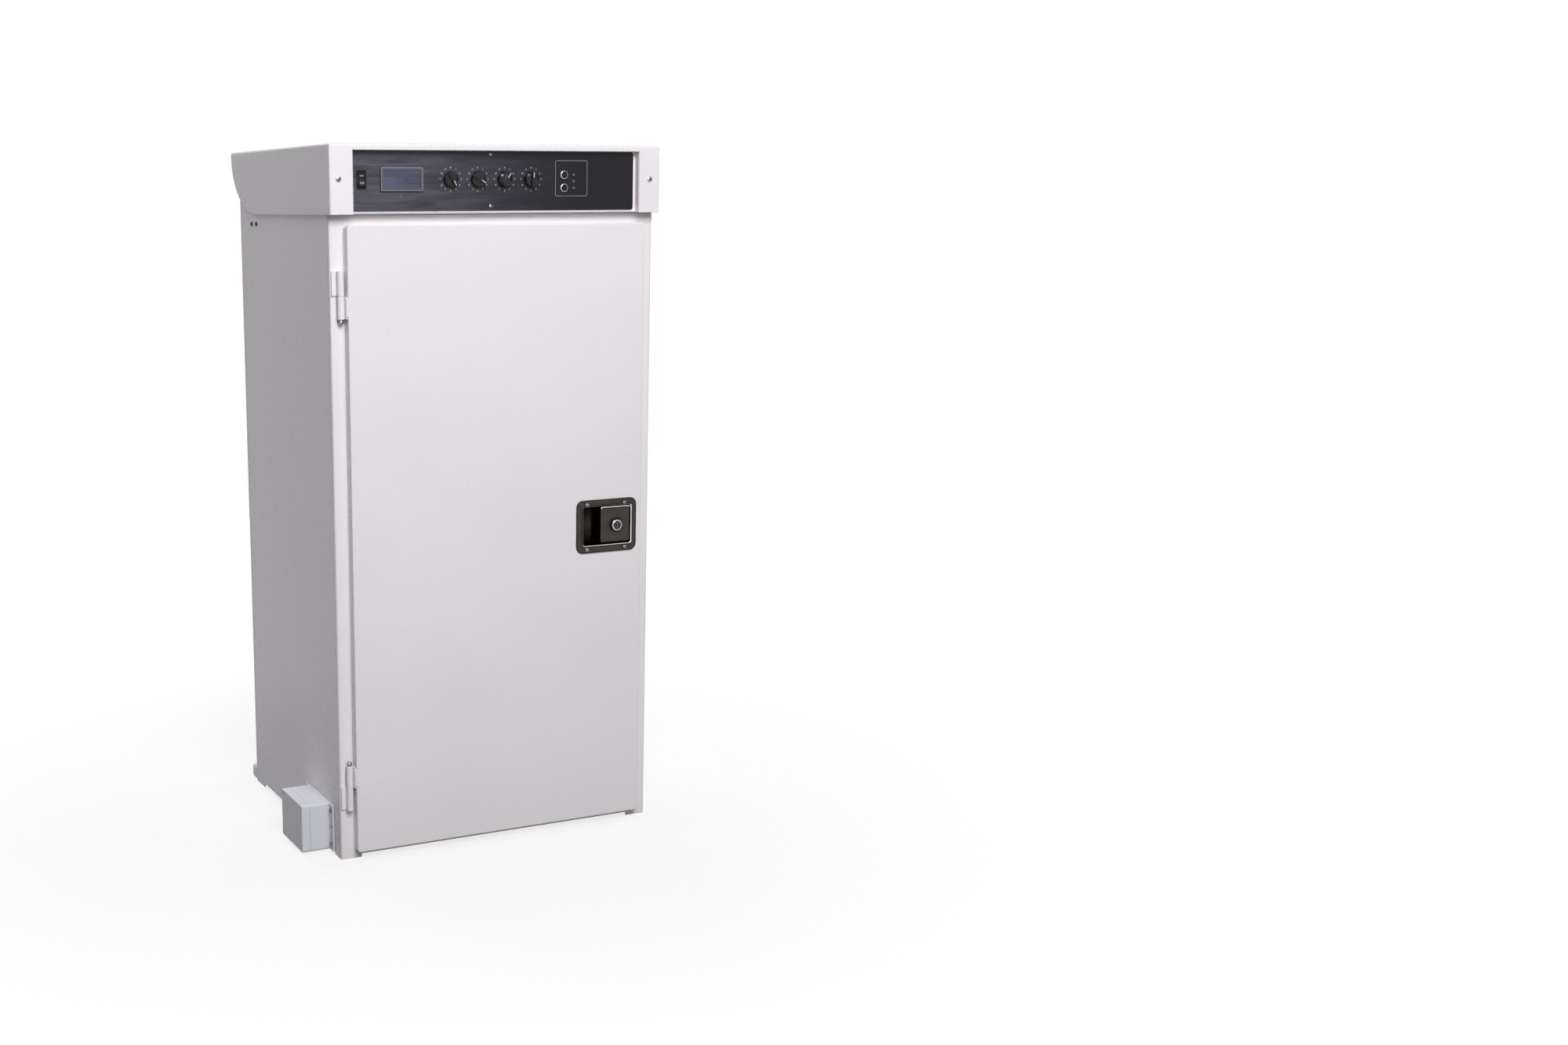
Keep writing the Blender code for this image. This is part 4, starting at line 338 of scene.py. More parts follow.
@dataclass(frozen=True)
class PaperSweep(Surface):
    """Matt studio paper, which fades to plain white round the object."""

    fade_from: float = 0.50
    fade_to: float = 1.25

    def shader(self, tree: NodeTree, place: Socket) -> Node:
        """Build the nodes of the paper.

        Args:
            tree: the node tree.
            place: the place on the floor.

        Returns:
            The shader.
        """
        pulp = add_node(tree, "TexNoise", {"Scale": 40.0}, {"Vector": place})
        tone = add_node(tree, "ValToRGB", {"stops": [(0.3, "#e2e2e2"), (0.7, "#e6e6e6")]}, {"Fac": pulp})
        path = add_node(tree, "LightPath")
        shown = add_node(tree, "MixRGB", {"Color1": linear("#6e6e6e")},
                         {"Fac": path.outputs["Is Camera Ray"], "Color2": tone})
        matt = add_node(tree, "BsdfPrincipled", {"Roughness": 0.9, "IOR": 1.3}, {"Base Color": shown})
        reach = add_node(tree, "VectorMath", {"operation": 'LENGTH'}, {0: place})
        fade = add_node(
            tree, "MapRange", {"From Min": self.fade_from, "From Max": self.fade_to, "To Min": 0.78,
                               "To Max": 1.0, "interpolation_type": 'SMOOTHSTEP'},
            {"Value": reach.outputs["Value"]})
        share = add_node(tree, "Math", {"operation": 'MULTIPLY'}, {0: rays_that_see(tree, path), 1: fade})
        white = add_node(tree, "Emission", {"Color": (1, 1, 1, 1), "Strength": 1.0})
        return add_node(tree, "MixShader", {}, {0: share, 1: matt, 2: white})


# White polyester powder coat, baked: soft broad reflections with a faint orange peel
WHITE_COAT = Finish("white_powder_coat_baked", "white_powder_coat", "#e9e5e7", "#e5e1e4", 0.27, ior=1.42,
                    relief_mm=3.0, relief_depth=0.002)
# Satin powder coat: near black, broad soft highlights
BLACK_COAT = Finish("black_powder_coat_satin", "black_powder_coat", "#0c0c0d", "#070708", 0.34, ior=1.20,
                    relief_mm=2.0)
# Anodised aluminium of the sliding door's bar: black, and a little bluer than the sill
BAR_COAT = Finish("black_anodised_bar", "black_powder_coat", "#1b1b22", "#15151b", 0.34, ior=1.32,
                  relief_mm=2.0)
# Black nickel on a pressed latch: painted shade darkens its hollows, and its bends flash under a lamp
LATCH_BLACK = Finish("black_nickel_plate", "black_latch", "#4a4643", "#413d3b", 0.19, metallic=1.0,
                     tone_mm=30.0, relief_mm=1.6, relief_depth=0.004, gloss_spread=0.05, grime="#0c0b0b",
                     grime_mm=34.0, grime_reach=(0.62, 0.97))
# Bends of the same plate, polished a little by the press tool and by hands, and painted near white as
# highlights where the lamps flash on them
LATCH_HIGHLIGHT = Finish("polished_nickel_painted_highlight", "black_latch", "#efe9e4", "#cbc5c0", 0.16, metallic=1.0,
                    tone_mm=24.0, relief_mm=1.6, relief_depth=0.004)
# Injection moulded ABS: deep black with a fine spark-eroded texture
MOULDED_BLACK = Finish("moulded_black_abs", "black_plastic", "#101012", "#0b0b0c", 0.26, ior=1.36,
                       relief_mm=1.2)
# Knobs of the same black, but polished: they mirror the lamps in small bright spots
KNOB_BLACK = Finish("polished_black_knob", "black_plastic", "#0e0e10", "#0a0a0b", 0.13, ior=1.46,
                    relief_mm=5.0, relief_depth=0.03)
# Moulded polycarbonate box: light blue grey and satin
MOULDED_GREY = Finish("moulded_grey_polycarbonate", "grey_plastic", "#dcdde3", "#d4d5db", 0.36, ior=1.42,
                      relief_mm=1.6)
# Moulded display frame, a shade lighter than the film round it
BEZEL_GREY = Finish("moulded_display_frame", "black_plastic", "#5b5a66", "#504f5b", 0.30, ior=1.36,
                    relief_mm=1.2)
# Screen printed polyester overlay: very dark violet grey, with fine scratches streaked by pale painted
# reflection towards the switch
OVERLAY_FILM = HazedFilm("printed_polyester_overlay", "black_overlay", "#1c1a20", "#585763", 190.0, -215.0)
# Acrylic window over an unlit liquid crystal: dark blue grey under the same scratches and pale painted
# reflection
DISPLAY = HazedFilm("acrylic_display_window", "display_glass", "#2b2d3d", "#6b6e86", 190.0, -330.0)
# Brushed stainless steel: fine lines along the grain stretch every highlight, and painted shade darkens its
# hollows
STAINLESS = Finish("brushed_stainless_steel", "stainless", "#8d8985", "#7b7773", 0.28, metallic=1.0,
                   tone_mm=20.0, relief_mm=1.5, relief_depth=0.01, gloss_spread=0.10, grain=(1.0, 1.0, 0.06),
                   grime="#34312e")
# Bright zinc plate with a trace of blue, and painted shade in its hollows
ZINC = Finish("bright_zinc_plate", "zinc_steel", "#9a9ba0", "#808186", 0.30, metallic=1.0, tone_mm=14.0,
              relief_mm=2.0, relief_depth=0.01, grime="#2c2c2e")
# Black oxide on the side bolts: near black, which also stands in as painted shade for the dark holes at these
# places; a faint oily sheen
BLACK_OXIDE_AND_HOLE_SHADE = Finish("black_oxide_bolt_and_hole_shade", "zinc_steel", "#1b1b1d", "#121213", 0.34, tone_mm=8.0,
                     relief_mm=2.0)
# Chromium plate, polished: sharp pale reflections with dark gaps, and painted shade in its hollows
CHROME = Finish("polished_chrome_plate", "chrome", "#b9b9bd", "#acacb1", 0.12, metallic=1.0, tone_mm=30.0,
                relief_mm=4.0, relief_depth=0.002, gloss_spread=0.03, grime="#37363a")
# Face of the lock, plated and dulled by handling, and darker than the chrome as painted shade of its recessed
# face
LOCK_FACE = Finish("dull_lock_face_and_shade", "chrome", "#4b4a4c", "#3d3c3e", 0.22, metallic=1.0, tone_mm=6.0,
                   relief_mm=2.0, relief_depth=0.01, grime="#201f21")
# Cold drawn steel rod, oiled: dark with one clear streak of light
ROD = Finish("drawn_steel_rod", "steel_rod", "#6f6a68", "#5d5957", 0.17, metallic=1.0, tone_mm=60.0,
             relief_mm=1.5, relief_depth=0.01, grain=(1.0, 1.0, 0.05))
# Nitrile rubber pad: matt black
RUBBER = Finish("nitrile_rubber", "black_rubber", "#111112", "#0c0c0d", 0.62, ior=1.35, relief_mm=2.0)
# Cast tin bronze nut: warm and a little dull
BRONZE = Finish("cast_bronze", "bronze", "#b08a55", "#94713f", 0.38, metallic=1.0, tone_mm=8.0)
# Glass fibre laminate under a green solder mask: smooth and satin
LAMINATE = Finish("solder_mask_laminate", "circuit_green", "#1f5a38", "#184a2d", 0.40, tone_mm=6.0,
                  relief_mm=1.5)
# White screen ink, a little grey where it lies thin
INK = Finish("white_screen_ink", "black_overlay", "#d2d2d8", "#b4b4bd", 0.45, tone_mm=3.0)
# Grey screen ink of the printed frames: paler than the film, and dull
FAINT_INK = Finish("grey_screen_ink", "black_overlay", "#8f8e9a", "#7d7c89", 0.45, tone_mm=3.0)
# Tinted epoxy lenses of the indicator lamps, barely lit
GREEN_LENS, RED_LENS = (
    Finish(f"{hue}_epoxy_lens", "display_glass", bright, deep, 0.18, ior=1.4, tone_mm=4.0, glow=0.06)
    for hue, bright, deep in (("green", "#2f7a49", "#24603a"), ("red", "#8a2f2b", "#6f2421")))
# Dried meadow grass: seed heads and stems bleached to straw, leaves still dull green
HAY_TOP = HayFinish("meadow_hay_tan", "dried_hay", (
    (0.0, "#655430"), (0.2, "#a48f57"), (0.5, "#cdb577"), (0.78, "#ead69a"), (1.0, "#fdf1ca")))
HAY_MIDDLE = HayFinish("meadow_hay_green", "dried_hay", (
    (0.0, "#35331f"), (0.3, "#666345"), (0.6, "#8c8966"), (0.85, "#bab489"), (1.0, "#e2d8ae")))
HAY_BOTTOM = HayFinish("meadow_hay_mixed", "dried_hay", (
    (0.0, "#4b4222"), (0.22, "#87793f"), (0.5, "#b5a35f"), (0.78, "#d6c27f"), (1.0, "#f3e6b4")))
HAY_SHADE = HayFinish("meadow_hay_shaded", "dried_hay", (
    (0.0, "#1a170d"), (0.5, "#2b2616"), (1.0, "#3f3820")))
# White paper sweep under the object: it keeps the shadow
PAPER = PaperSweep("matt_paper_sweep", "")

FINISHES = {finish.slot: finish for finish in (
    WHITE_COAT, BLACK_COAT, LATCH_BLACK, MOULDED_BLACK, MOULDED_GREY, OVERLAY_FILM, DISPLAY, STAINLESS, ZINC,
    CHROME, ROD, RUBBER, BRONZE, LAMINATE, HAY_SHADE)}
SPECIAL = {"feed_edge_bar": BAR_COAT, "display_bezel": BEZEL_GREY, "lock_plug": LOCK_FACE,
           **{f"knob_{i}": KNOB_BLACK for i in range(1, 5)}}
# Width of the small rounding, in millimetres, where the photograph shows edges that catch light
ROUNDED = {"door_pan": 1.4, "hood_shell": 0.9, "front_frame": 0.9, "cover_panel": 0.8, "enclosure_box": 1.6,
           "enclosure_lid": 1.2, "side_panel_left": 0.5, "side_panel_right": 0.5, "rear_frame": 0.9}


class Bench:
    """The maker's frame: it turns millimetre sizes into places of the world."""

    origin = Vector((0.0, 0.0, 0.0))

    @classmethod
    def set_origin(cls) -> None:
        """Find the maker's origin from the front frame, which is centred on it."""
        low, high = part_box("front_frame")
        cls.origin = Vector(((low.x + high.x) / 2, low.y - FRONT_SHEET_Y * MM, 0.0))

    @classmethod
    def point(cls, x: float, y: float, z: float) -> Vector:
        """Give a place of the maker's frame in world metres."""
        return cls.origin + Vector((x, y, z)) * MM

    @classmethod
    def seat(cls, x: float, y: float, z: float, facing: Facing, turn: float = 0.0) -> Matrix:
        """Give the matrix that sets a fitting on a surface.

        Args:
            x: place across.
            y: place along the depth.
            z: height.
            facing: which way it looks.
            turn: degrees turned clockwise about its own axis.

        Returns:
            A matrix from the fitting's millimetres, with z outwards, to the world.
        """
        out, up = (Vector(v) for v in facing.value)
        axes = Matrix((up.cross(out), up, out)).transposed().to_4x4()
        place = Matrix.Translation(cls.point(x, y, z))
        return place @ axes @ Matrix.Rotation(math.radians(-turn), 4, 'Z') @ Matrix.Scale(MM, 4)


def add_object(name: str, data: bpy.types.ID) -> Object:
    """Put a new object in the scene.

    Args:
        name: its name.
        data: its mesh, lamp, camera or curve.

    Returns:
        The object.
    """
    made = bpy.data.objects.new(name, data)
    bpy.context.scene.collection.objects.link(made)
    return made


def mesh_of(name: str, bm: BMesh) -> Mesh:
    """Write a bmesh to a new mesh.

    Args:
        name: the mesh's name.
        bm: the bmesh, freed here.

    Returns:
        The mesh.
    """
    mesh = bpy.data.meshes.new(name)
    bm.to_mesh(mesh)
    bm.free()
    return mesh


def publish(name: str, bm: BMesh, finish: Surface, body: str = "cabinet", place: Matrix | None = None,
            sharp: float = CREASE) -> Object:
    """Turn a bmesh into a piece that rides on a body.

    Args:
        name: the piece's name.
        bm: its mesh, freed here.
        finish: its finish.
        body: the CAD body that it moves with.
        place: where the mesh goes, or None when it is in world metres already.
        sharp: angle in degrees above which an edge stays sharp.

    Returns:
        The object.
    """
    if place:
        bmesh.ops.transform(bm, matrix=place, verts=bm.verts)
    mesh = mesh_of(name, bm)
    mesh.shade_smooth()
    mesh.set_sharp_from_angle(angle=math.radians(sharp))
    mesh.materials.append(finish.material())
    piece = add_object(name, mesh)
    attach(piece, body)
    return piece


def verts_in(made: dict) -> list[bmesh.types.BMVert]:
    """Pick the vertices out of what an extrusion returned."""
    return [item for item in made["geom"] if isinstance(item, bmesh.types.BMVert)]


def merge_into(target: BMesh, part: BMesh, matrix: Matrix) -> None:
    """Move a part into another mesh.

    Args:
        target: the mesh that grows.
        part: the part, freed here.
        matrix: where it goes.
    """
    mesh = mesh_of("copy", part)
    mesh.transform(matrix)
    target.from_mesh(mesh)
    bpy.data.meshes.remove(mesh)


def screw_head(radius: float, height: float, recess: Recess) -> BMesh:
    """Make a domed screw head with its driver recess.

    Args:
        radius: radius of the head.
        height: height of the dome.
        recess: shape of the recess.

    Returns:
        The head, z outwards, seated at z 0.
    """
    bm = bmesh.new()
    bmesh.ops.create_grid(bm, x_segments=7, y_segments=7, size=1.0)
    across, along = recess.value
    hollow = []
    for face in bm.faces:
        centre = face.calc_center_median()
        near, far = sorted((abs(centre.x), abs(centre.y)))
        if near < across and far < along:
            hollow.append(face)
    for vert in bm.verts:
        reach = max(abs(vert.co.x), abs(vert.co.y))
        if reach:
            vert.co *= reach / vert.co.length
        vert.co.z = math.sqrt(1 - 0.72 * reach * reach)
    rim = [edge for edge in bm.edges if edge.is_boundary]
    for vert in verts_in(bmesh.ops.extrude_edge_only(bm, edges=rim)):
        vert.co.z = -0.1
    floor = verts_in(bmesh.ops.extrude_face_region(bm, geom=hollow))
    bmesh.ops.scale(bm, vec=(0.72, 0.72, 1.0), verts=floor)
    bmesh.ops.translate(bm, vec=(0, 0, -0.7), verts=floor)
    bmesh.ops.delete(bm, geom=hollow, context='FACES_ONLY')
    bmesh.ops.scale(bm, vec=(radius, radius, height), verts=bm.verts)
    bmesh.ops.recalc_face_normals(bm, faces=bm.faces)
    return bm


def turned(profile: list[Pair], steps: int = 24) -> BMesh:
    """Spin a profile about its own z axis.

    Args:
        profile: radius and height of each point, from the inside out.
        steps: number of faces round.

    Returns:
        The turned shape.
    """
    bm = bmesh.new()
    verts = [bm.verts.new((radius, 0.0, height)) for radius, height in profile]
    edges = [bm.edges.new(pair) for pair in zip(verts, verts[1:])]
    bmesh.ops.spin(bm, geom=verts + edges, axis=(0, 0, 1), cent=(0, 0, 0), angle=2 * math.pi, steps=steps,
                   use_merge=True)
    bmesh.ops.remove_doubles(bm, verts=bm.verts, dist=1e-4)
    bmesh.ops.recalc_face_normals(bm, faces=bm.faces)
    return bm


def rim_frame(width: float, height: float, corner: float, line: float, rise: float,
              rounding: float = 0.0) -> BMesh:
    """Make a rounded rectangle frame, such as a printed line or a pressed rim.

    Args:
        width: outside width.
        height: outside height.
        corner: corner radius.
        line: width of the frame's band.
        rise: how far it stands up.
        rounding: radius of its upper edges, or 0 for sharp ones.

    Returns:
        The frame, z outwards, seated at z 0.
    """
    bm = bmesh.new()
    bmesh.ops.create_grid(bm, x_segments=1, y_segments=1, size=1.0)
    bmesh.ops.scale(bm, vec=(width / 2, height / 2, 1), verts=bm.verts)
    bmesh.ops.bevel(bm, geom=bm.verts[:], affect='VERTICES', offset=corner, segments=5, profile=0.5,
                    material=-1)
    band = bmesh.ops.inset_region(bm, faces=bm.faces[:], thickness=line, use_even_offset=True,
                                  use_boundary=True)["faces"]
    bmesh.ops.delete(bm, geom=[face for face in bm.faces if face not in band], context='FACES')
    top = verts_in(bmesh.ops.extrude_face_region(bm, geom=bm.faces[:]))
    bmesh.ops.translate(bm, vec=(0, 0, rise), verts=top)
    bmesh.ops.recalc_face_normals(bm, faces=bm.faces)
    if rounding:
        edges = [edge for edge in bm.edges if all(v.co.z > rise / 2 for v in edge.verts)
                 and edge.calc_face_angle(0.0) > 0.8]
        bmesh.ops.bevel(bm, geom=edges, affect='EDGES', offset=rounding, segments=3, profile=0.5,
                        material=-1)
    return bm


def lettering(text: str, size: float) -> BMesh:
    """Make a short printed mark, such as a number on a dial.

    Args:
        text: the mark.
        size: letter size.

    Returns:
        The mark, centred, a hair thick.
    """
    curve = bpy.data.curves.new("mark", 'FONT')
    curve.body = text
    curve.size = size
    curve.extrude = 0.03
    curve.resolution_u = 2
    curve.align_x = curve.align_y = 'CENTER'
    carrier = add_object("mark", curve)
    bpy.context.view_layer.update()
    mesh = bpy.data.meshes.new_from_object(carrier)
    bm = bmesh.new()
    bm.from_mesh(mesh)
    bpy.data.objects.remove(carrier)
    bpy.data.curves.remove(curve)
    bpy.data.meshes.remove(mesh)
    return bm


def weld_bead(length: float, ripple: float = 1.2) -> BMesh:
    """Make a rippled fillet of weld.

    Args:
        length: its length.
        ripple: length of one ripple.

    Returns:
        The bead, running up from its lower end.
    """
    bm = bmesh.new()
    bmesh.ops.create_circle(bm, cap_ends=True, radius=1.0, segments=8)
    bmesh.ops.rotate(bm, matrix=Matrix.Rotation(QUARTER, 3, 'X'), verts=bm.verts)
    ring = bm.faces[:]
    steps = int(length / ripple)
    for swell in [1.25 if step % 2 == 0 else 0.8 for step in range(steps - 1)] + [0.5]:
        grown = bmesh.ops.extrude_face_region(bm, geom=ring)
        ring = [item for item in grown["geom"] if isinstance(item, bmesh.types.BMFace)]
        verts = verts_in(grown)
        bmesh.ops.translate(bm, vec=(0, length / steps, 0), verts=verts)
        middle = sum((v.co for v in verts), Vector()) / len(verts)
        bmesh.ops.scale(bm, vec=(swell, 1, swell), verts=verts, space=Matrix.Translation(-middle))
    bmesh.ops.scale(bm, vec=(1.9, 1.0, 1.1), verts=bm.verts)
    bmesh.ops.recalc_face_normals(bm, faces=bm.faces)
    return bm


def lay_welds(name: str, body: str, x: float, y: float, feet: Pair, length: float) -> None:
    """Lay the painted weld beads beside the upper and the lower hinge.

    Args:
        name: the name that both share.
        body: the body that they ride on.
        x: place across.
        y: place along the depth.
        feet: heights of the lower ends.
        length: length of each bead.
    """
    for side, foot in zip(("upper", "lower"), feet):
        publish(f"{name}_{side}", weld_bead(length), WHITE_COAT, body, Bench.seat(x, y, foot, Facing.SERVICE))


@dataclass
class Fastener:
    """One kind of screw; each is turned further than the last, so that no two heads line up."""

    radius: float
    height: float
    recess: Recess
    finish: Finish
    first_turn: float = 17.0
    next_turn: float = 31.0

    def drive(self, name: str, body: str, facing: Facing, places: Iterable[Triple]) -> None:
        """Set one screw at every place, each as a piece of its own.

        Args:
            name: the name that they share.
            body: the body that they ride on.
            facing: which way they look.
            places: x, y and z of each.
        """
        for i, place in enumerate(places):
            publish(f"{name}_{i + 1}", screw_head(self.radius, self.height, self.recess), self.finish, body,
                    Bench.seat(*place, facing, self.first_turn + self.next_turn * i))


@dataclass
class Cabinet:
    """The cabinet's own dressing: side bolts, cover screws, hinge welds and pin tips."""

    half_width: float = 296.0
    cover_face: float = 277.0
    bolt_rows: Pair = (173.6, 145.2)
    bolt_height: float = 1071.0
    cover_screw_x: float = 276.0
    cover_screw_z: Pair = (1012.0, 586.0)
    hinge_x: float = -280.5
    hinge_y: float = -250.0
    weld_x: float = -286.7
    weld_feet: Pair = (922.0, 90.0)
    weld_length: float = 36.0
    ball_radius: float = 4.12

    def build(self) -> None:
        """Add every piece of the cabinet."""
        # The side bolts' near black is partly painted shade, standing in for dark holes
        bolt = Fastener(4.2, 2.2, Recess.SOCKET, BLACK_OXIDE_AND_HOLE_SHADE)
        for side, sign, facing in (("left", -1, Facing.LEFT), ("right", 1, Facing.RIGHT)):
            bolt.drive(f"side_bolt_{side}", "cabinet", facing,
                       [(sign * self.half_width, y, self.bolt_height) for y in self.bolt_rows])
        Fastener(3.6, 1.9, Recess.CROSS, ZINC).drive(
            "cover_screw", "cabinet", Facing.HORSE,
            [(sign * self.cover_screw_x, self.cover_face, z) for sign in (-1, 1) for z in self.cover_screw_z])
        lay_welds("frame_weld", "cabinet", self.weld_x, FRONT_SHEET_Y, self.weld_feet, self.weld_length)
        self.pin_tips()

    def pin_tips(self) -> None:
        """Bare the balls at the ends of the two hinge pins, where the paint has worn off."""
        ball = self.ball_radius
        profile = [(0.0, -0.12), (ball * 0.42, 0.08), (ball * 0.74, 1.05), (ball * 0.95, 2.4), (ball, 4.0),
                   (ball * 0.95, 5.6), (ball * 0.74, 6.95), (3.08, 7.9)]
        for side, end, sign in (("upper", 0, 1), ("lower", 1, -1)):
            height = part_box(f"frame_hinge_{side}")[end].z / MM
            tip = turned([(reach, sign * rise) for reach, rise in profile])
            publish(f"hinge_ball_{side}", tip, ZINC, "cabinet",
                    Bench.seat(self.hinge_x, self.hinge_y, height, Facing.UP))


@dataclass
class ServiceDoor:
    """The service door's dressing: latch screws and rims, painted highlights on the latch's bends, the lock's
    ring and the hinge welds.
    """

    plate_face: float = -263.8
    latch_screws: tuple[Pair, ...] = ((164.0, 587.2), (237.7, 587.0), (164.0, 507.7), (238.7, 507.9))
    dish: Box = (155.3, 250.8, 514.0, 584.0)
    plate: Box = (142.8, 260.8, 501.5, 595.5)
    paddle: Box = (190.05, 248.05, 515.8, 582.2)
    lock: Triple = (220.3, -269.8, 548.5)
    weld_x: float = -272.6
    weld_y: float = -260.6
    weld_feet: Pair = (926.0, 134.5)
    weld_length: float = 29.0

    def build(self) -> None:
        """Add every piece of the service door."""
        Fastener(3.2, 1.7, Recess.CROSS, ZINC).drive(
            "latch_screw", "service_door", Facing.SERVICE,
            [(x, self.plate_face, z) for x, z in self.latch_screws])
        right, low, paddle_top = self.dish[1] - 3, self.dish[2] + 3, self.paddle[3] - 4
        # Box, how far outside it the rim starts, corner, line, rise, finish and the part that stays
        self.rim("plate_rim", self.plate, -0.2, 12.0, 1.3, 0.5, LATCH_BLACK)
        self.rim("dish_rim", self.dish, 1.6, 5.0, 2.6, 1.1, LATCH_BLACK)
        # The flashes are painted highlights: near white bands on the bends where the lamps catch the pressing
        self.rim("dish_flash_right", self.dish, 0.9, 5.0, 2.4, 1.3, LATCH_HIGHLIGHT, lambda x, z: x > right)
        self.rim("dish_flash_low", self.dish, 0.9, 5.0, 1.9, 1.25, LATCH_HIGHLIGHT,
                 lambda x, z: z < low and x < right)
        self.rim("paddle_flash", self.paddle, -0.4, 3.0, 1.7, 0.4, LATCH_HIGHLIGHT, lambda x, z: z > paddle_top,
                 "paddle")
        self.lock_ring()
        lay_welds("door_weld", "service_door", self.weld_x, self.weld_y, self.weld_feet, self.weld_length)

    def rim(self, name: str, box: Box, grow: float, corner: float, line: float, rise: float, finish: Finish,
            kept: Callable[[float, float], bool] | None = None, body: str = "service_door") -> None:
        """Round one bend of the latch's pressings.

        Args:
            name: the piece's name after 'latch_'.
            box: left, right, low and high edge of the pressing.
            grow: how far outside that box it starts.
            corner: corner radius.
            line: width of its band.
            rise: how far it stands up.
            finish: its finish.
            kept: tells from x and z which part stays, when not all does.
            body: the body that it rides on.
        """
        left, right, low, high = box
        bend = rim_frame(right - left + 2 * grow, high - low + 2 * grow, corner, line, rise, rise * 0.85)
        x, z = (left + right) / 2, (low + high) / 2
        if kept:
            middle = Vector((x, z, 0.0))
            gone = [face for face in bend.faces if not kept(*(face.calc_center_median() + middle)[:2])]
            bmesh.ops.delete(bend, geom=gone, context='FACES')
        publish(f"latch_{name}", bend, finish, body, Bench.seat(x, self.plate_face, z, Facing.SERVICE))

    def lock_ring(self) -> None:
        """Turn the bright shell round the lock's face, and the ring of its keyway."""
        for name, profile in (
                ("shell", [(7.3, -0.9), (7.6, -0.2), (8.2, 0.0), (9.2, -0.3), (9.9, -1.2), (10.08, -5.6)]),
                ("keyway", [(1.3, -0.3), (1.6, 0.0), (2.2, 0.0), (2.8, -0.3)])):
            publish(f"lock_{name}", turned(profile, 32), CHROME, "lock",
                    Bench.seat(*self.lock, Facing.SERVICE))


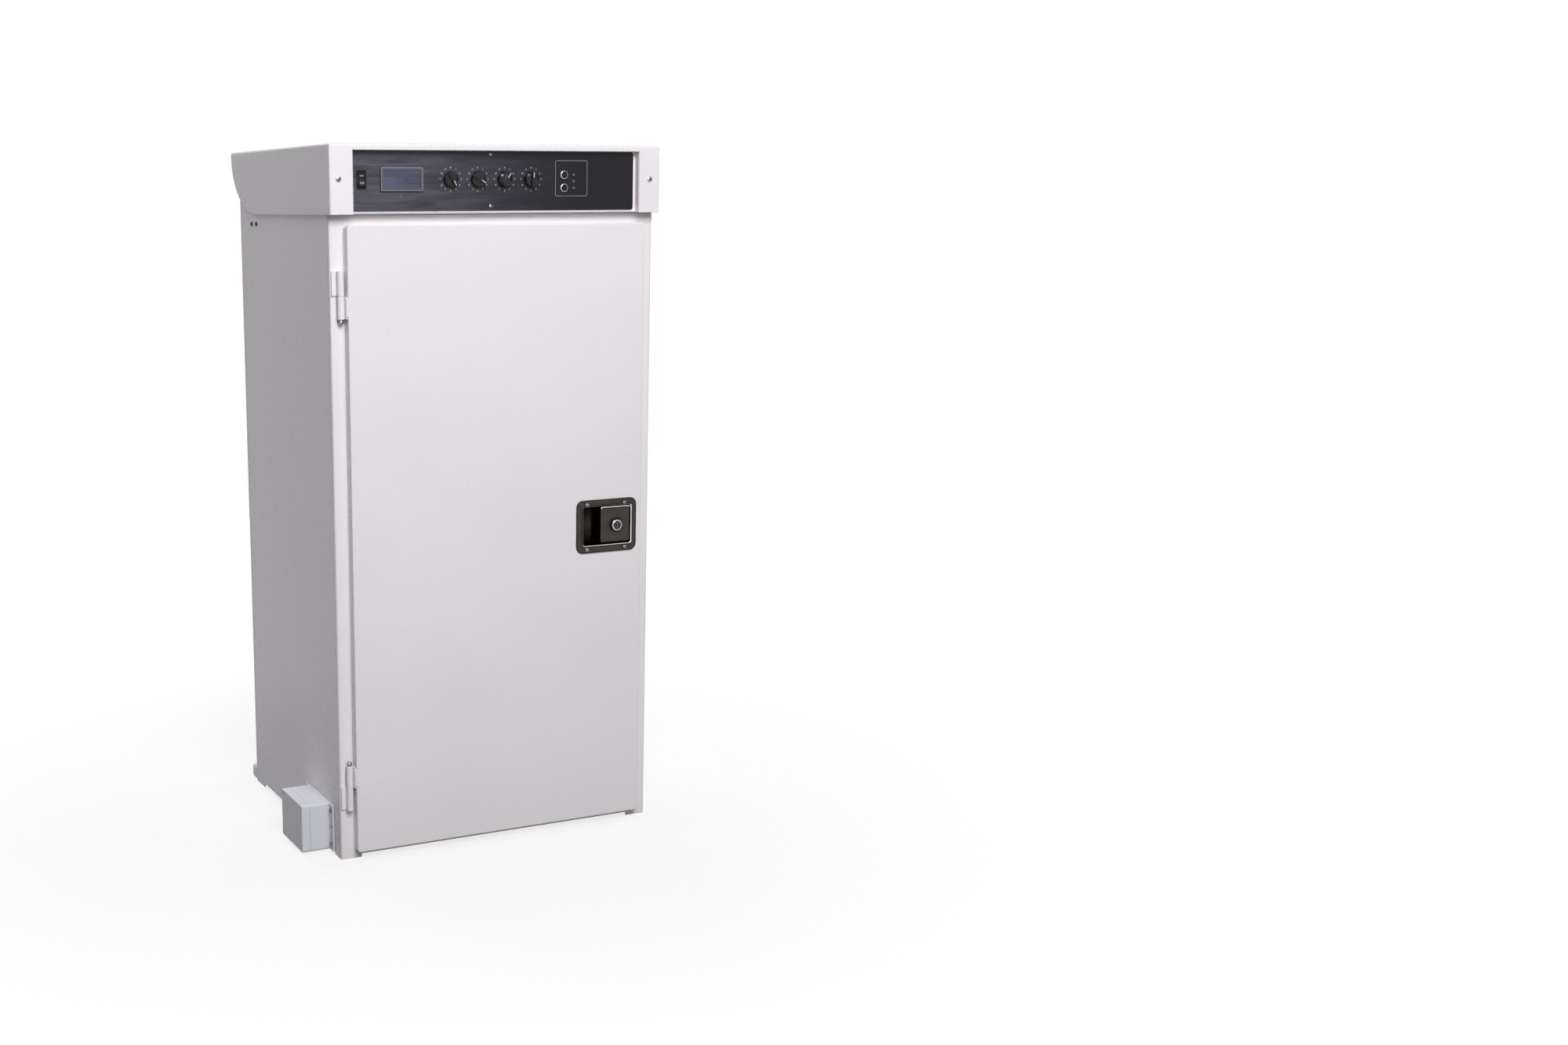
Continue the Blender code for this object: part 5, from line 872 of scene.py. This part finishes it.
@dataclass
class ControlPanel:
    """The hood's panel: screws, collars, lamps and printed marks."""

    hood_face: float = -262.0
    overlay_face: float = -248.8
    knob_face: float = -261.1
    bezel_face: float = -252.6
    hood_screws: tuple[Pair, ...] = ((-284.6, 1144.0), (280.3, 1144.0))
    overlay_screws: tuple[Pair, ...] = ((-13.0, 1185.0), (-13.0, 1100.0))
    dials: tuple[float, ...] = (-85.0, -36.3, 12.4, 61.1)
    dial_row: float = 1144.0
    dial_turns: tuple[float, ...] = (152.0, 122.0, 33.0, 0.0)
    mark_radius: float = 18.6
    mark_size: float = 4.2
    buttons: tuple[Pair, ...] = ((123.0, 1151.6), (123.0, 1130.0))
    lamps: tuple[Pair, ...] = ((140.8, 1151.6), (140.8, 1140.8), (140.8, 1130.0), (-174.0, 1116.5))
    rocker_x: float = -241.15
    rocker_row: float = 1143.6
    word_size: float = 4.4

    def build(self) -> None:
        """Add every piece of the panel."""
        for name, size, face, places in (
                ("hood_screw", (4.4, 2.4), self.hood_face, self.hood_screws),
                ("overlay_screw", (3.0, 1.8), self.overlay_face, self.overlay_screws)):
            Fastener(*size, Recess.CROSS, ZINC).drive(
                name, "hood", Facing.SERVICE, [(x, face, z) for x, z in places])
        self.dial_numbers()
        for name, x, z, width, height, face in (
                ("frame_buttons", 136.7, 1145.5, 60.6, 59.0, self.overlay_face),
                ("bezel_hairline", -171.8, 1144.2, 73.0, 37.0, self.bezel_face)):
            publish(name, rim_frame(width, height, 3.0, 0.8, 0.08), FAINT_INK, "hood",
                    Bench.seat(x, face, z, Facing.SERVICE))
        self.switch_words()
        self.pointers()
        self.collars()
        self.indicators()

    def spot(self, x: float, z: float) -> Matrix:
        """Give the place of a mark on the overlay."""
        return Bench.seat(x, self.overlay_face, z, Facing.SERVICE)

    def dial_numbers(self) -> None:
        """Print the numbers round the dials."""
        for i, x in enumerate(self.dials):
            bm = bmesh.new()
            for k in range(12):
                angle = math.radians(30 * k)
                merge_into(bm, lettering(str(k), self.mark_size),
                           self.spot(x + self.mark_radius * math.sin(angle),
                                     self.dial_row + self.mark_radius * math.cos(angle)))
            publish(f"dial_numbers_{i + 1}", bm, INK, "hood")

    def switch_words(self) -> None:
        """Print ON and OFF on the two slopes of the rocker."""
        upright = Bench.seat(0, 0, 0, Facing.SERVICE)
        upright.translation = (0, 0, 0)
        bm = bmesh.new()
        for text, height in (("ON", 5.6), ("OFF", -5.9)):
            start = Bench.point(self.rocker_x, -300.0, self.rocker_row + height)
            _, spot, normal, _ = bpy.data.objects["rocker"].ray_cast(start, Vector((0, 1, 0)))
            lean = Vector((0, -1, 0)).rotation_difference(normal).to_matrix().to_4x4()
            merge_into(bm, lettering(text, self.word_size), Matrix.Translation(spot) @ lean @ upright)
        publish("switch_words", bm, INK, "power_rocker")

    def pointers(self) -> None:
        """Fill the pointer line of each knob with pale paint."""
        for i, (x, turn) in enumerate(zip(self.dials, self.dial_turns)):
            place = Bench.seat(x, self.knob_face, self.dial_row, Facing.SERVICE, turn)
            publish(f"pointer_line_{i + 1}", rim_frame(1.5, 9.0, 0.6, 0.66, 0.06), INK, f"dial_{i + 1}",
                    place @ Matrix.Translation((0.0, 7.2, 0.0)))

    def collars(self) -> None:
        """Fit the chromed collars of the two push buttons."""
        profile = [(5.3, 0.0), (5.3, 1.1), (5.8, 1.6), (6.6, 1.4), (7.2, 0.7), (7.3, 0.0)]
        for i, place in enumerate(self.buttons):
            publish(f"button_collar_{i + 1}", turned(profile), CHROME, "hood", self.spot(*place))

    def indicators(self) -> None:
        """Fit the small indicator lamps in their bezels."""
        dome = [(1.5, 0.0), (1.5, 0.5), (1.3, 1.0), (0.8, 1.4), (0.0, 1.6)]
        bezel = [(1.5, 0.0), (1.5, 0.9), (1.9, 0.9), (2.2, 0.5), (2.3, 0.0)]
        for i, (place, lens) in enumerate(zip(self.lamps, (GREEN_LENS, RED_LENS, GREEN_LENS, GREEN_LENS))):
            for name, profile, finish in (("lamp", dome, lens), ("lamp_bezel", bezel, ZINC)):
                publish(f"{name}_{i + 1}", turned(profile, 16), finish, "hood", self.spot(*place))


@dataclass
class PowerBox:
    """The power box's dressing: a black line at the lid's seam as painted shade of its groove, and lid and
    ear screws.
    """

    lid_recess: float = -347.95
    seam: float = -334.3
    ear_face: float = -299.3
    front: float = -194.0
    back: float = -84.0
    bottom: float = 4.0
    top: float = 89.0
    lid_inset: float = 7.5
    ear_reach: float = 8.1
    ear_rows: Pair = (15.9, 77.1)

    def build(self) -> None:
        """Add every piece of the power box."""
        # Painted shade: a thin black rubber frame stands in for the shaded groove of the lid's seam
        seam_shade = rim_frame(self.back - self.front - 0.4, self.top - self.bottom - 0.4, 4.0, 1.0, 0.5)
        middle = (self.front + self.back) / 2, (self.bottom + self.top) / 2
        publish("lid_seam_shade", seam_shade, RUBBER, "cabinet", Bench.seat(self.seam, *middle, Facing.LEFT))
        inset, reach = self.lid_inset, self.ear_reach
        Fastener(3.1, 1.4, Recess.CROSS, MOULDED_GREY).drive(
            "lid_screw", "cabinet", Facing.LEFT,
            [(self.lid_recess, y, z) for y in (self.front + inset, self.back - inset)
             for z in (self.bottom + inset, self.top - inset)])
        Fastener(3.9, 2.0, Recess.CROSS, ZINC).drive(
            "ear_screw", "cabinet", Facing.LEFT,
            [(self.ear_face, y, z) for y in (self.front - reach, self.back + reach) for z in self.ear_rows])


@dataclass
class DrawLatch:
    """The draw latch's dressing: the catch pin in the lever's eye and the rings of the hook pin."""

    centre_y: float = -187.0
    pin_height: float = 1044.5
    pin_out: float = 315.2
    hook_x: float = 307.0
    hook_z: float = 1053.0
    hook_half: float = 16.2

    def build(self) -> None:
        """Add every piece of the draw latch."""
        stud = [(0.0, 0.0), (0.8, 0.0), (1.6, -0.5), (2.1, -1.3), (2.1, -3.0), (1.5, -3.8), (1.5, -13.0),
                (0.0, -13.0)]
        ring = [(2.6, 0.0), (2.6, 0.8), (3.2, 1.1), (3.9, 0.8), (4.1, 0.0)]
        publish("catch_stud", turned(stud), CHROME, "cabinet",
                Bench.seat(self.pin_out, self.centre_y, self.pin_height, Facing.RIGHT))
        for name, sign, facing in (("front", -1, Facing.SERVICE), ("rear", 1, Facing.HORSE)):
            publish(f"hook_ring_{name}", turned(ring), STAINLESS, "draw_hook",
                    Bench.seat(self.hook_x, self.centre_y + sign * self.hook_half, self.hook_z, facing))


@dataclass(frozen=True)
class Tuft:
    """A kind of tuft: its strands, its radius, how far they turn from level, its broadest blade."""

    count: int
    spread: float
    mess: float
    widest: float


def even(first: float, last: float, count: int) -> list[float]:
    """Give evenly spaced places from the first to the last."""
    return [first + (last - first) * i / (count - 1) for i in range(count)]


def tinted() -> BMesh:
    """Start a mesh whose vertices carry a tint."""
    bm = bmesh.new()
    bm.verts.layers.float_color.new("tint")
    return bm


def stain(bm: BMesh, shade: Callable[[], float]) -> None:
    """Give every vertex its tint.

    Args:
        bm: the mesh.
        shade: gives the next shade, from 0 to 1.
    """
    store = bm.verts.layers.float_color.new("tint")
    for vert in bm.verts:
        value = shade()
        vert[store] = (value, value, value, 1.0)


def laid(place: Matrix, heading: float, lean: float, roll: float, length: float) -> Matrix:
    """Lay down a strand that stands on z 0, by its middle.

    Args:
        place: where it lies.
        heading: its turn in the plane, in radians.
        lean: how far it tips out of the plane.
        roll: its turn about itself.
        length: its length.

    Returns:
        The strand's matrix.
    """
    return (place @ Matrix.Rotation(heading, 4, 'Z') @ Matrix.Rotation(lean, 4, 'Y')
            @ Matrix.Rotation(QUARTER, 4, 'Y') @ Matrix.Rotation(roll, 4, 'Z')
            @ Matrix.Translation((0.0, 0.0, -length / 2)))


@dataclass
class Hay:
    """The bale on the weigh tray: a shaded core under three flakes of strands, and loose stems."""

    left: float = -222.0
    right: float = 238.0
    back: float = -196.0
    front: float = 208.0
    bottom: float = 30.0
    top: float = 478.0
    flakes: Pair = (198.0, 338.0)
    row_pitch: float = 23.0
    door_path: float = 244.2
    liner: float = 248.0
    doorway: float = -236.0
    roof: float = 500.0
    spill_half: float = 0.247
    spill_low: float = 24.1
    spill_high: float = 25.4
    coarse: Tuft = Tuft(56, 46.0, 0.75, 3.4)
    level: Tuft = Tuft(60, 46.0, 0.30, 3.0)
    fine: Tuft = Tuft(74, 40.0, 1.3, 1.9)
    variants: int = 4
    seed: int = 11

    def build(self) -> None:
        """Add the core, the flakes seen through the window, the other sides and the loose stems."""
        self.dice = random.Random(self.seed)
        coarse, level, fine = ([self.tuft(kind) for _ in range(self.variants)]
                               for kind in (self.coarse, self.level, self.fine))
        self.core()
        service, upper, ends = self.other_sides()
        for name, finish, tufts, spots in (
                ("bottom", HAY_BOTTOM, level, self.flake(self.bottom, self.flakes[0])),
                ("middle", HAY_MIDDLE, fine, self.flake(*self.flakes)),
                ("top", HAY_TOP, coarse, self.flake(self.flakes[1], self.top + 12.0)),
                ("service_side", HAY_BOTTOM, level, service),
                ("upper_side", HAY_TOP, coarse, upper),
                ("ends", HAY_BOTTOM, coarse, ends)):
            self.cover(f"hay_{name}", finish, tufts, spots)
        self.loose()
        for mesh in coarse + level + fine:
            bpy.data.meshes.remove(mesh)

    def strand(self, target: BMesh, length: float, width: float, matrix: Matrix, tint: float) -> None:
        """Add one bent strand of dried grass.

        Args:
            target: what it joins.
            length: its length.
            width: its width.
            matrix: where it lies.
            tint: its shade, from 0 to 1.
        """
        bm = bmesh.new()
        bmesh.ops.create_circle(bm, cap_ends=True, radius=width / 2, segments=3)
        bmesh.ops.scale(bm, vec=(1.0, 0.45, 1.0), verts=bm.verts)
        bend = self.dice.uniform(0.1, 0.9)
        bmesh.ops.spin(bm, geom=bm.faces[:] + bm.edges[:] + bm.verts[:], axis=(0, 1, 0),
                       cent=(length / bend, 0, 0), angle=bend, steps=3)
        bmesh.ops.recalc_face_normals(bm, faces=bm.faces)
        stain(bm, lambda: tint)
        merge_into(target, bm, matrix)

    def tuft(self, kind: Tuft, sunk: float = 15.0, proud: float = 4.0) -> Mesh:
        """Make a flat tuft of crossing strands, with painted shade on those that lie deep.

        Args:
            kind: its kind.
            sunk: how far its deepest strands lie below it.
            proud: how far its highest strands lie above it.

        Returns:
            The tuft's mesh, in millimetres, z outwards.
        """
        dice = self.dice
        bm = tinted()
        for _ in range(kind.count):
            length = dice.uniform(26.0, 84.0)
            width = 0.9 + (kind.widest - 0.9) * dice.random() ** 2
            heading = dice.gauss(0.0, kind.mess)
            lean = dice.gauss(0.0, 0.20)
            x = dice.uniform(-kind.spread, kind.spread)
            y = dice.uniform(-kind.spread, kind.spread)
            depth = dice.uniform(-sunk, proud)
            roll = dice.uniform(0.0, 2 * math.pi)
            matrix = laid(Matrix.Translation((x, y, depth)), heading, lean, roll, length)
            # Painted shade: the deeper a strand lies, the darker its tint
            light = 0.35 + 0.65 * ((depth + sunk) / (sunk + proud))
            self.strand(bm, length, width, matrix, dice.random() * light)
        return mesh_of("tuft", bm)

    def cover(self, name: str, finish: HayFinish, tufts: list[Mesh], spots: Spots) -> None:
        """Cover one side with tufts.

        Args:
            name: the piece's name.
            finish: its finish.
            tufts: the tufts to choose from.
            spots: where each tuft sits, and its turn in degrees.
        """
        bm = bmesh.new()
        for place, turn in spots:
            mesh = self.dice.choice(tufts)
            matrix = place @ Matrix.Rotation(math.radians(turn), 4, 'Z')
            mesh.transform(matrix)
            bm.from_mesh(mesh)
            mesh.transform(matrix.inverted())
        self.trim(bm)
        publish(name, bm, finish, sharp=NO_CREASE)

    def flake(self, low: float, high: float) -> Spots:
        """Spread tufts over one flake of the window's side, which bulges between its edges.

        Args:
            low: lower edge of the flake.
            high: upper edge of the flake.

        Returns:
            Place and turn of each tuft.
        """
        roll = self.dice.uniform
        rows = round((high - low) / self.row_pitch)
        for column in even(self.left + 30, self.right - 30, 16):
            for row in range(rows):
                x = column + roll(-7, 7)
                z = low + (high - low) * (row + 0.5) / rows + roll(-7, 7)
                crown = 9.0 * math.sin(math.pi * (z - low) / (high - low)) - 9.0
                bulge = 6.0 * math.sin(x * 0.021 + z * 0.034) + roll(-3, 3)
                place = Bench.seat(x, self.front + crown + bulge, z, Facing.HORSE)
                yield place, self.dice.choice((0.0, 180.0)) + roll(-20, 20)

    def other_sides(self) -> tuple[Spots, Spots, Spots]:
        """Spread tufts more thinly over the other sides, which the open door and hood show.

        Returns:
            Place and turn of each tuft on the service side, on the upper side and on both ends.
        """
        roll = self.dice.uniform
        service = ((Bench.seat(x, self.back + roll(-4, 4), z, Facing.SERVICE), roll(-20, 20))
                   for x in even(self.left + 26, self.right - 26, 12)
                   for z in even(self.bottom + 24, self.top - 20, 12))
        upper = ((Bench.seat(x, y, self.top - 2 + roll(-4, 2), Facing.UP), roll(0, 360))
                 for x in even(self.left + 34, self.right - 34, 10)
                 for y in even(self.back + 30, self.front - 30, 9))
        ends = ((Bench.seat(x, y, z, facing), roll(-30, 30))
                for facing, x in ((Facing.LEFT, self.left + 9), (Facing.RIGHT, self.right - 6))
                for y in even(self.back + 30, self.front - 26, 8)
                for z in even(self.bottom + 26, self.top - 26, 9))
        return service, upper, ends

    def trim(self, bm: BMesh, spare: float = 2.5) -> None:
        """Press strands that stick out back inside the chamber and behind the sliding door.

        Args:
            bm: the strands, in world metres.
            spare: room that they leave to the sliding door's path.
        """
        low = Bench.point(-self.liner, self.doorway, self.bottom - 4.5)
        high = Bench.point(self.liner, self.door_path - spare, self.roof)
        for vert in bm.verts:
            for axis in range(3):
                over = vert.co[axis] - high[axis]
                under = low[axis] - vert.co[axis]
                if over > 0:
                    vert.co[axis] = high[axis] - min(over * 0.15, 4 * MM)
                if under > 0:
                    vert.co[axis] = low[axis] + min(under * 0.15, 4 * MM)

    def core(self) -> None:
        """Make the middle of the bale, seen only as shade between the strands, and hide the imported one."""
        bm = bmesh.new()
        bmesh.ops.create_cube(bm, size=1.0)
        bmesh.ops.subdivide_edges(bm, edges=bm.edges[:], cuts=11, use_grid_fill=True)
        size = (self.right - self.left - 30, self.front - self.back - 34, self.top - self.bottom - 12)
        bmesh.ops.scale(bm, vec=size, verts=bm.verts)
        for vert in bm.verts:
            vert.co += Vector([self.dice.uniform(-3, 3) for _ in range(3)])
        bmesh.ops.smooth_vert(bm, verts=bm.verts, factor=0.4, use_axis_x=True, use_axis_y=True,
                              use_axis_z=True)
        middle = Bench.point((self.left + self.right) / 2, (self.front + self.back) / 2 - 8,
                             (self.top + self.bottom) / 2)
        bmesh.ops.transform(bm, matrix=Matrix.Translation(middle) @ Matrix.Scale(MM, 4), verts=bm.verts)
        stain(bm, self.dice.random)
        bmesh.ops.recalc_face_normals(bm, faces=bm.faces)
        core = publish("hay_core", bm, HAY_SHADE, sharp=NO_CREASE)
        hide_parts("hay_bale")

    def loose(self) -> None:
        """Lay long stems over the window's side, bits along its foot and a spill on the sill."""
        dice = self.dice
        bm = tinted()
        for _ in range(170):
            x = dice.uniform(self.left + 20, self.right - 20)
            z = dice.uniform(self.bottom + 30, self.top - 6)
            length = 34.0 + 90.0 * dice.random() ** 1.6
            y = self.front + dice.uniform(6.0, 14.0)
            matrix = laid(Bench.seat(x, y, z, Facing.HORSE), dice.gauss(0.0, 0.9), dice.gauss(0.0, 0.10),
                          dice.uniform(0, 2 * math.pi), length)
            self.strand(bm, length, 0.9 + 1.9 * dice.random() ** 2, matrix, dice.uniform(0.25, 1.0))
        foot = self.bottom - 3.0
        for name, finish, litter, rise, lean in (("hay_loose_stems", HAY_TOP, bm, 7.0, 0.08),
                                                 ("hay_foot_leaves", HAY_MIDDLE, tinted(), 8.0, 0.10)):
            for _ in range(520):
                self.foot_bit(litter, dice.uniform(-6.0, 34.0), foot + rise * dice.random() ** 2, lean)
            self.trim(litter, 0.6)
            publish(name, litter, finish, sharp=NO_CREASE)
        bm = tinted()
        for _ in range(420):
            self.foot_bit(bm, 26.0 + 26.0 * dice.random() ** 2, dice.uniform(24.5, 25.0), 0.0)
        middle, floor = Bench.origin.x, Bench.origin.z
        for vert in bm.verts:
            height = min(max((vert.co.z - floor) / MM, self.spill_low), self.spill_high)
            vert.co.z = floor + height * MM
            vert.co.x = min(max(vert.co.x, middle - self.spill_half), middle + self.spill_half)
        publish("hay_spill", bm, HAY_BOTTOM, sharp=NO_CREASE)

    def foot_bit(self, bm: BMesh, out: float, height: float, lean: float) -> None:
        """Drop one short bit of grass at the foot of the window.

        Args:
            bm: the litter that it joins.
            out: how far it lies before the bale's face.
            height: height of its middle.
            lean: how far bits tip from level, in radians.
        """
        dice = self.dice
        x = dice.uniform(self.left - 22, self.right + 8)
        length = dice.uniform(8.0, 42.0)
        matrix = laid(Bench.seat(x, self.front + out, height, Facing.UP), dice.gauss(0.0, 0.8),
                      dice.gauss(0.0, lean), dice.choice((1, -1)) * QUARTER, length)
        self.strand(bm, length, dice.uniform(0.8, 2.2), matrix, dice.random())


@dataclass(frozen=True)
class Softbox:
    """One soft lamp: its place and target in metres, the size of its face and its watts."""

    name: str
    place: Triple
    target: Triple
    size: Pair
    power: float
    mirrored: bool = True

    def hang(self) -> None:
        """Hang the lamp; one that isn't mirrored leaves no bright patch in the sheet steel."""
        data = bpy.data.lights.new(self.name, 'AREA')
        data.shape = 'RECTANGLE'
        data.size, data.size_y = self.size
        data.energy = self.power
        lamp = add_object(self.name, data)
        lamp.location = self.place
        aim = Vector(self.target) - Vector(self.place)
        lamp.rotation_euler = aim.to_track_quat('-Z', 'Y').to_euler()
        lamp.visible_glossy = self.mirrored


@dataclass
class Studio:
    """The photographer's studio: floor, soft lamps, pale surroundings and the camera."""

    camera_place: Triple = (-1.2600, -3.0191, 1.1022)
    yaw: float = 23.72
    pitch: float = 11.06
    roll: float = -0.34
    lens: float = 41.29
    shift: Pair = (0.2026, 0.0218)
    floor_radius: float = 14.0
    shade_tint: str = "#f3ecff"
    shade_level: float = 0.11
    lamps: tuple[Softbox, ...] = (
        Softbox("key_front", (-0.50, -2.9, 2.9), (0.0, 0.0, 0.80), (1.7, 1.7), 115.0),
        Softbox("strip_front", (-0.3, -3.6, 1.3), (0.0, 0.0, 0.8), (0.6, 2.0), 12.0),
        Softbox("fill_left", (-3.4, -1.0, 2.2), (0.0, 0.0, 0.7), (2.2, 2.2), 0.7),
        Softbox("key_rear", (-0.5, 3.0, 2.45), (0.0, 0.0, 0.5), (1.9, 1.9), 82.0, False),
        Softbox("strip_rear", (1.0, 3.4, 1.2), (0.0, 0.0, 0.5), (1.0, 2.0), 34.0, False),
        Softbox("fill_right", (3.4, 0.8, 2.2), (0.0, 0.0, 0.6), (2.2, 2.2), 48.0))

    def build(self) -> None:
        """Set up the studio."""
        self.camera()
        self.floor()
        self.world()
        for lamp in self.lamps:
            lamp.hang()
        bpy.context.scene.view_settings.view_transform = 'Standard'

    def camera(self) -> None:
        """Stand the camera where both vanishing points of the photograph put it."""
        yaw, pitch, roll = (math.radians(v) for v in (self.yaw, self.pitch, self.roll))
        ahead = Vector((math.sin(yaw) * math.cos(pitch), math.cos(yaw) * math.cos(pitch), -math.sin(pitch)))
        level = Vector((math.cos(yaw), -math.sin(yaw), 0.0))
        above = level.cross(ahead)
        right = math.cos(roll) * level + math.sin(roll) * above
        up = math.cos(roll) * above - math.sin(roll) * level
        data = bpy.data.cameras.new("studio_camera")
        data.lens = self.lens
        data.sensor_width = 36.0
        data.shift_x, data.shift_y = self.shift
        camera = add_object("studio_camera", data)
        turn = Matrix((right, up, -ahead)).transposed().to_4x4()
        camera.matrix_world = Matrix.Translation(self.camera_place) @ turn
        bpy.context.scene.camera = camera

    def floor(self) -> None:
        """Lay a pale floor that keeps the shadow and shows white to the camera beyond it."""
        bm = bmesh.new()
        bmesh.ops.create_circle(bm, cap_ends=True, radius=self.floor_radius, segments=64)
        mesh = mesh_of("studio_floor", bm)
        mesh.materials.append(PAPER.material())
        floor = add_object("studio_floor", mesh)

    def world(self) -> None:
        """Surround everything with soft light that looks plain white to the camera."""
        world = bpy.data.worlds.new("studio_surround")
        bpy.context.scene.world = world
        world.use_nodes = True
        tree = world.node_tree
        tree.nodes.clear()
        seen = rays_that_see(tree, add_node(tree, "LightPath"))
        level = add_node(tree, "MapRange", {"To Min": self.shade_level, "To Max": 1.0}, {"Value": seen})
        tint = add_node(tree, "MixRGB", {"Color1": linear(self.shade_tint), "Color2": (1, 1, 1, 1)},
                        {"Fac": seen})
        light = add_node(tree, "Background", {}, {"Color": tint, "Strength": level})
        add_node(tree, "OutputWorld", {}, {"Surface": light})


def round_edges(node: Object, width: float) -> None:
    """Round a sheet's or moulding's edges a little by modifiers, so that they catch the light.

    Args:
        node: the CAD node.
        width: width of the rounding, in metres.
    """
    weld = node.modifiers.new("weld", 'WELD')
    weld.merge_threshold = 0.005 * MM
    bevel = node.modifiers.new("bevel", 'BEVEL')
    bevel.width = width
    bevel.segments = 2
    bevel.limit_method = 'ANGLE'
    bevel.angle_limit = math.radians(CREASE)
    node.modifiers.new("normals", 'WEIGHTED_NORMAL')


def dress_nodes(frame: dict) -> None:
    """Give every CAD node its finish.
    """
    slots = {row["node"]: row["material_slot"] for row in frame["record"]["subparts"]}
    for name, node in frame["nodes"].items():
        finish = SPECIAL.get(name, FINISHES[slots[name]])
        if not node.material_slots:
            node.data.materials.append(None)
        for slot in node.material_slots:
            slot.material = finish.material()
        if name in ROUNDED:
            round_edges(node, ROUNDED[name] * MM)


def write_sizes() -> None:
    bpy.context.view_layer.update()


def main() -> None:
    """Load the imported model, dress it and set it in the studio."""
    logging.basicConfig(level=logging.INFO, format="%(message)s")
    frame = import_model()
    Bench.set_origin()
    dress_nodes(frame)
    for assembly in (Studio(), Cabinet(), ServiceDoor(), ControlPanel(), PowerBox(), DrawLatch(), Hay()):
        assembly.build()
        LOG.info("built %s", type(assembly).__name__)
    write_sizes()


if __name__ == "__main__":
    main()
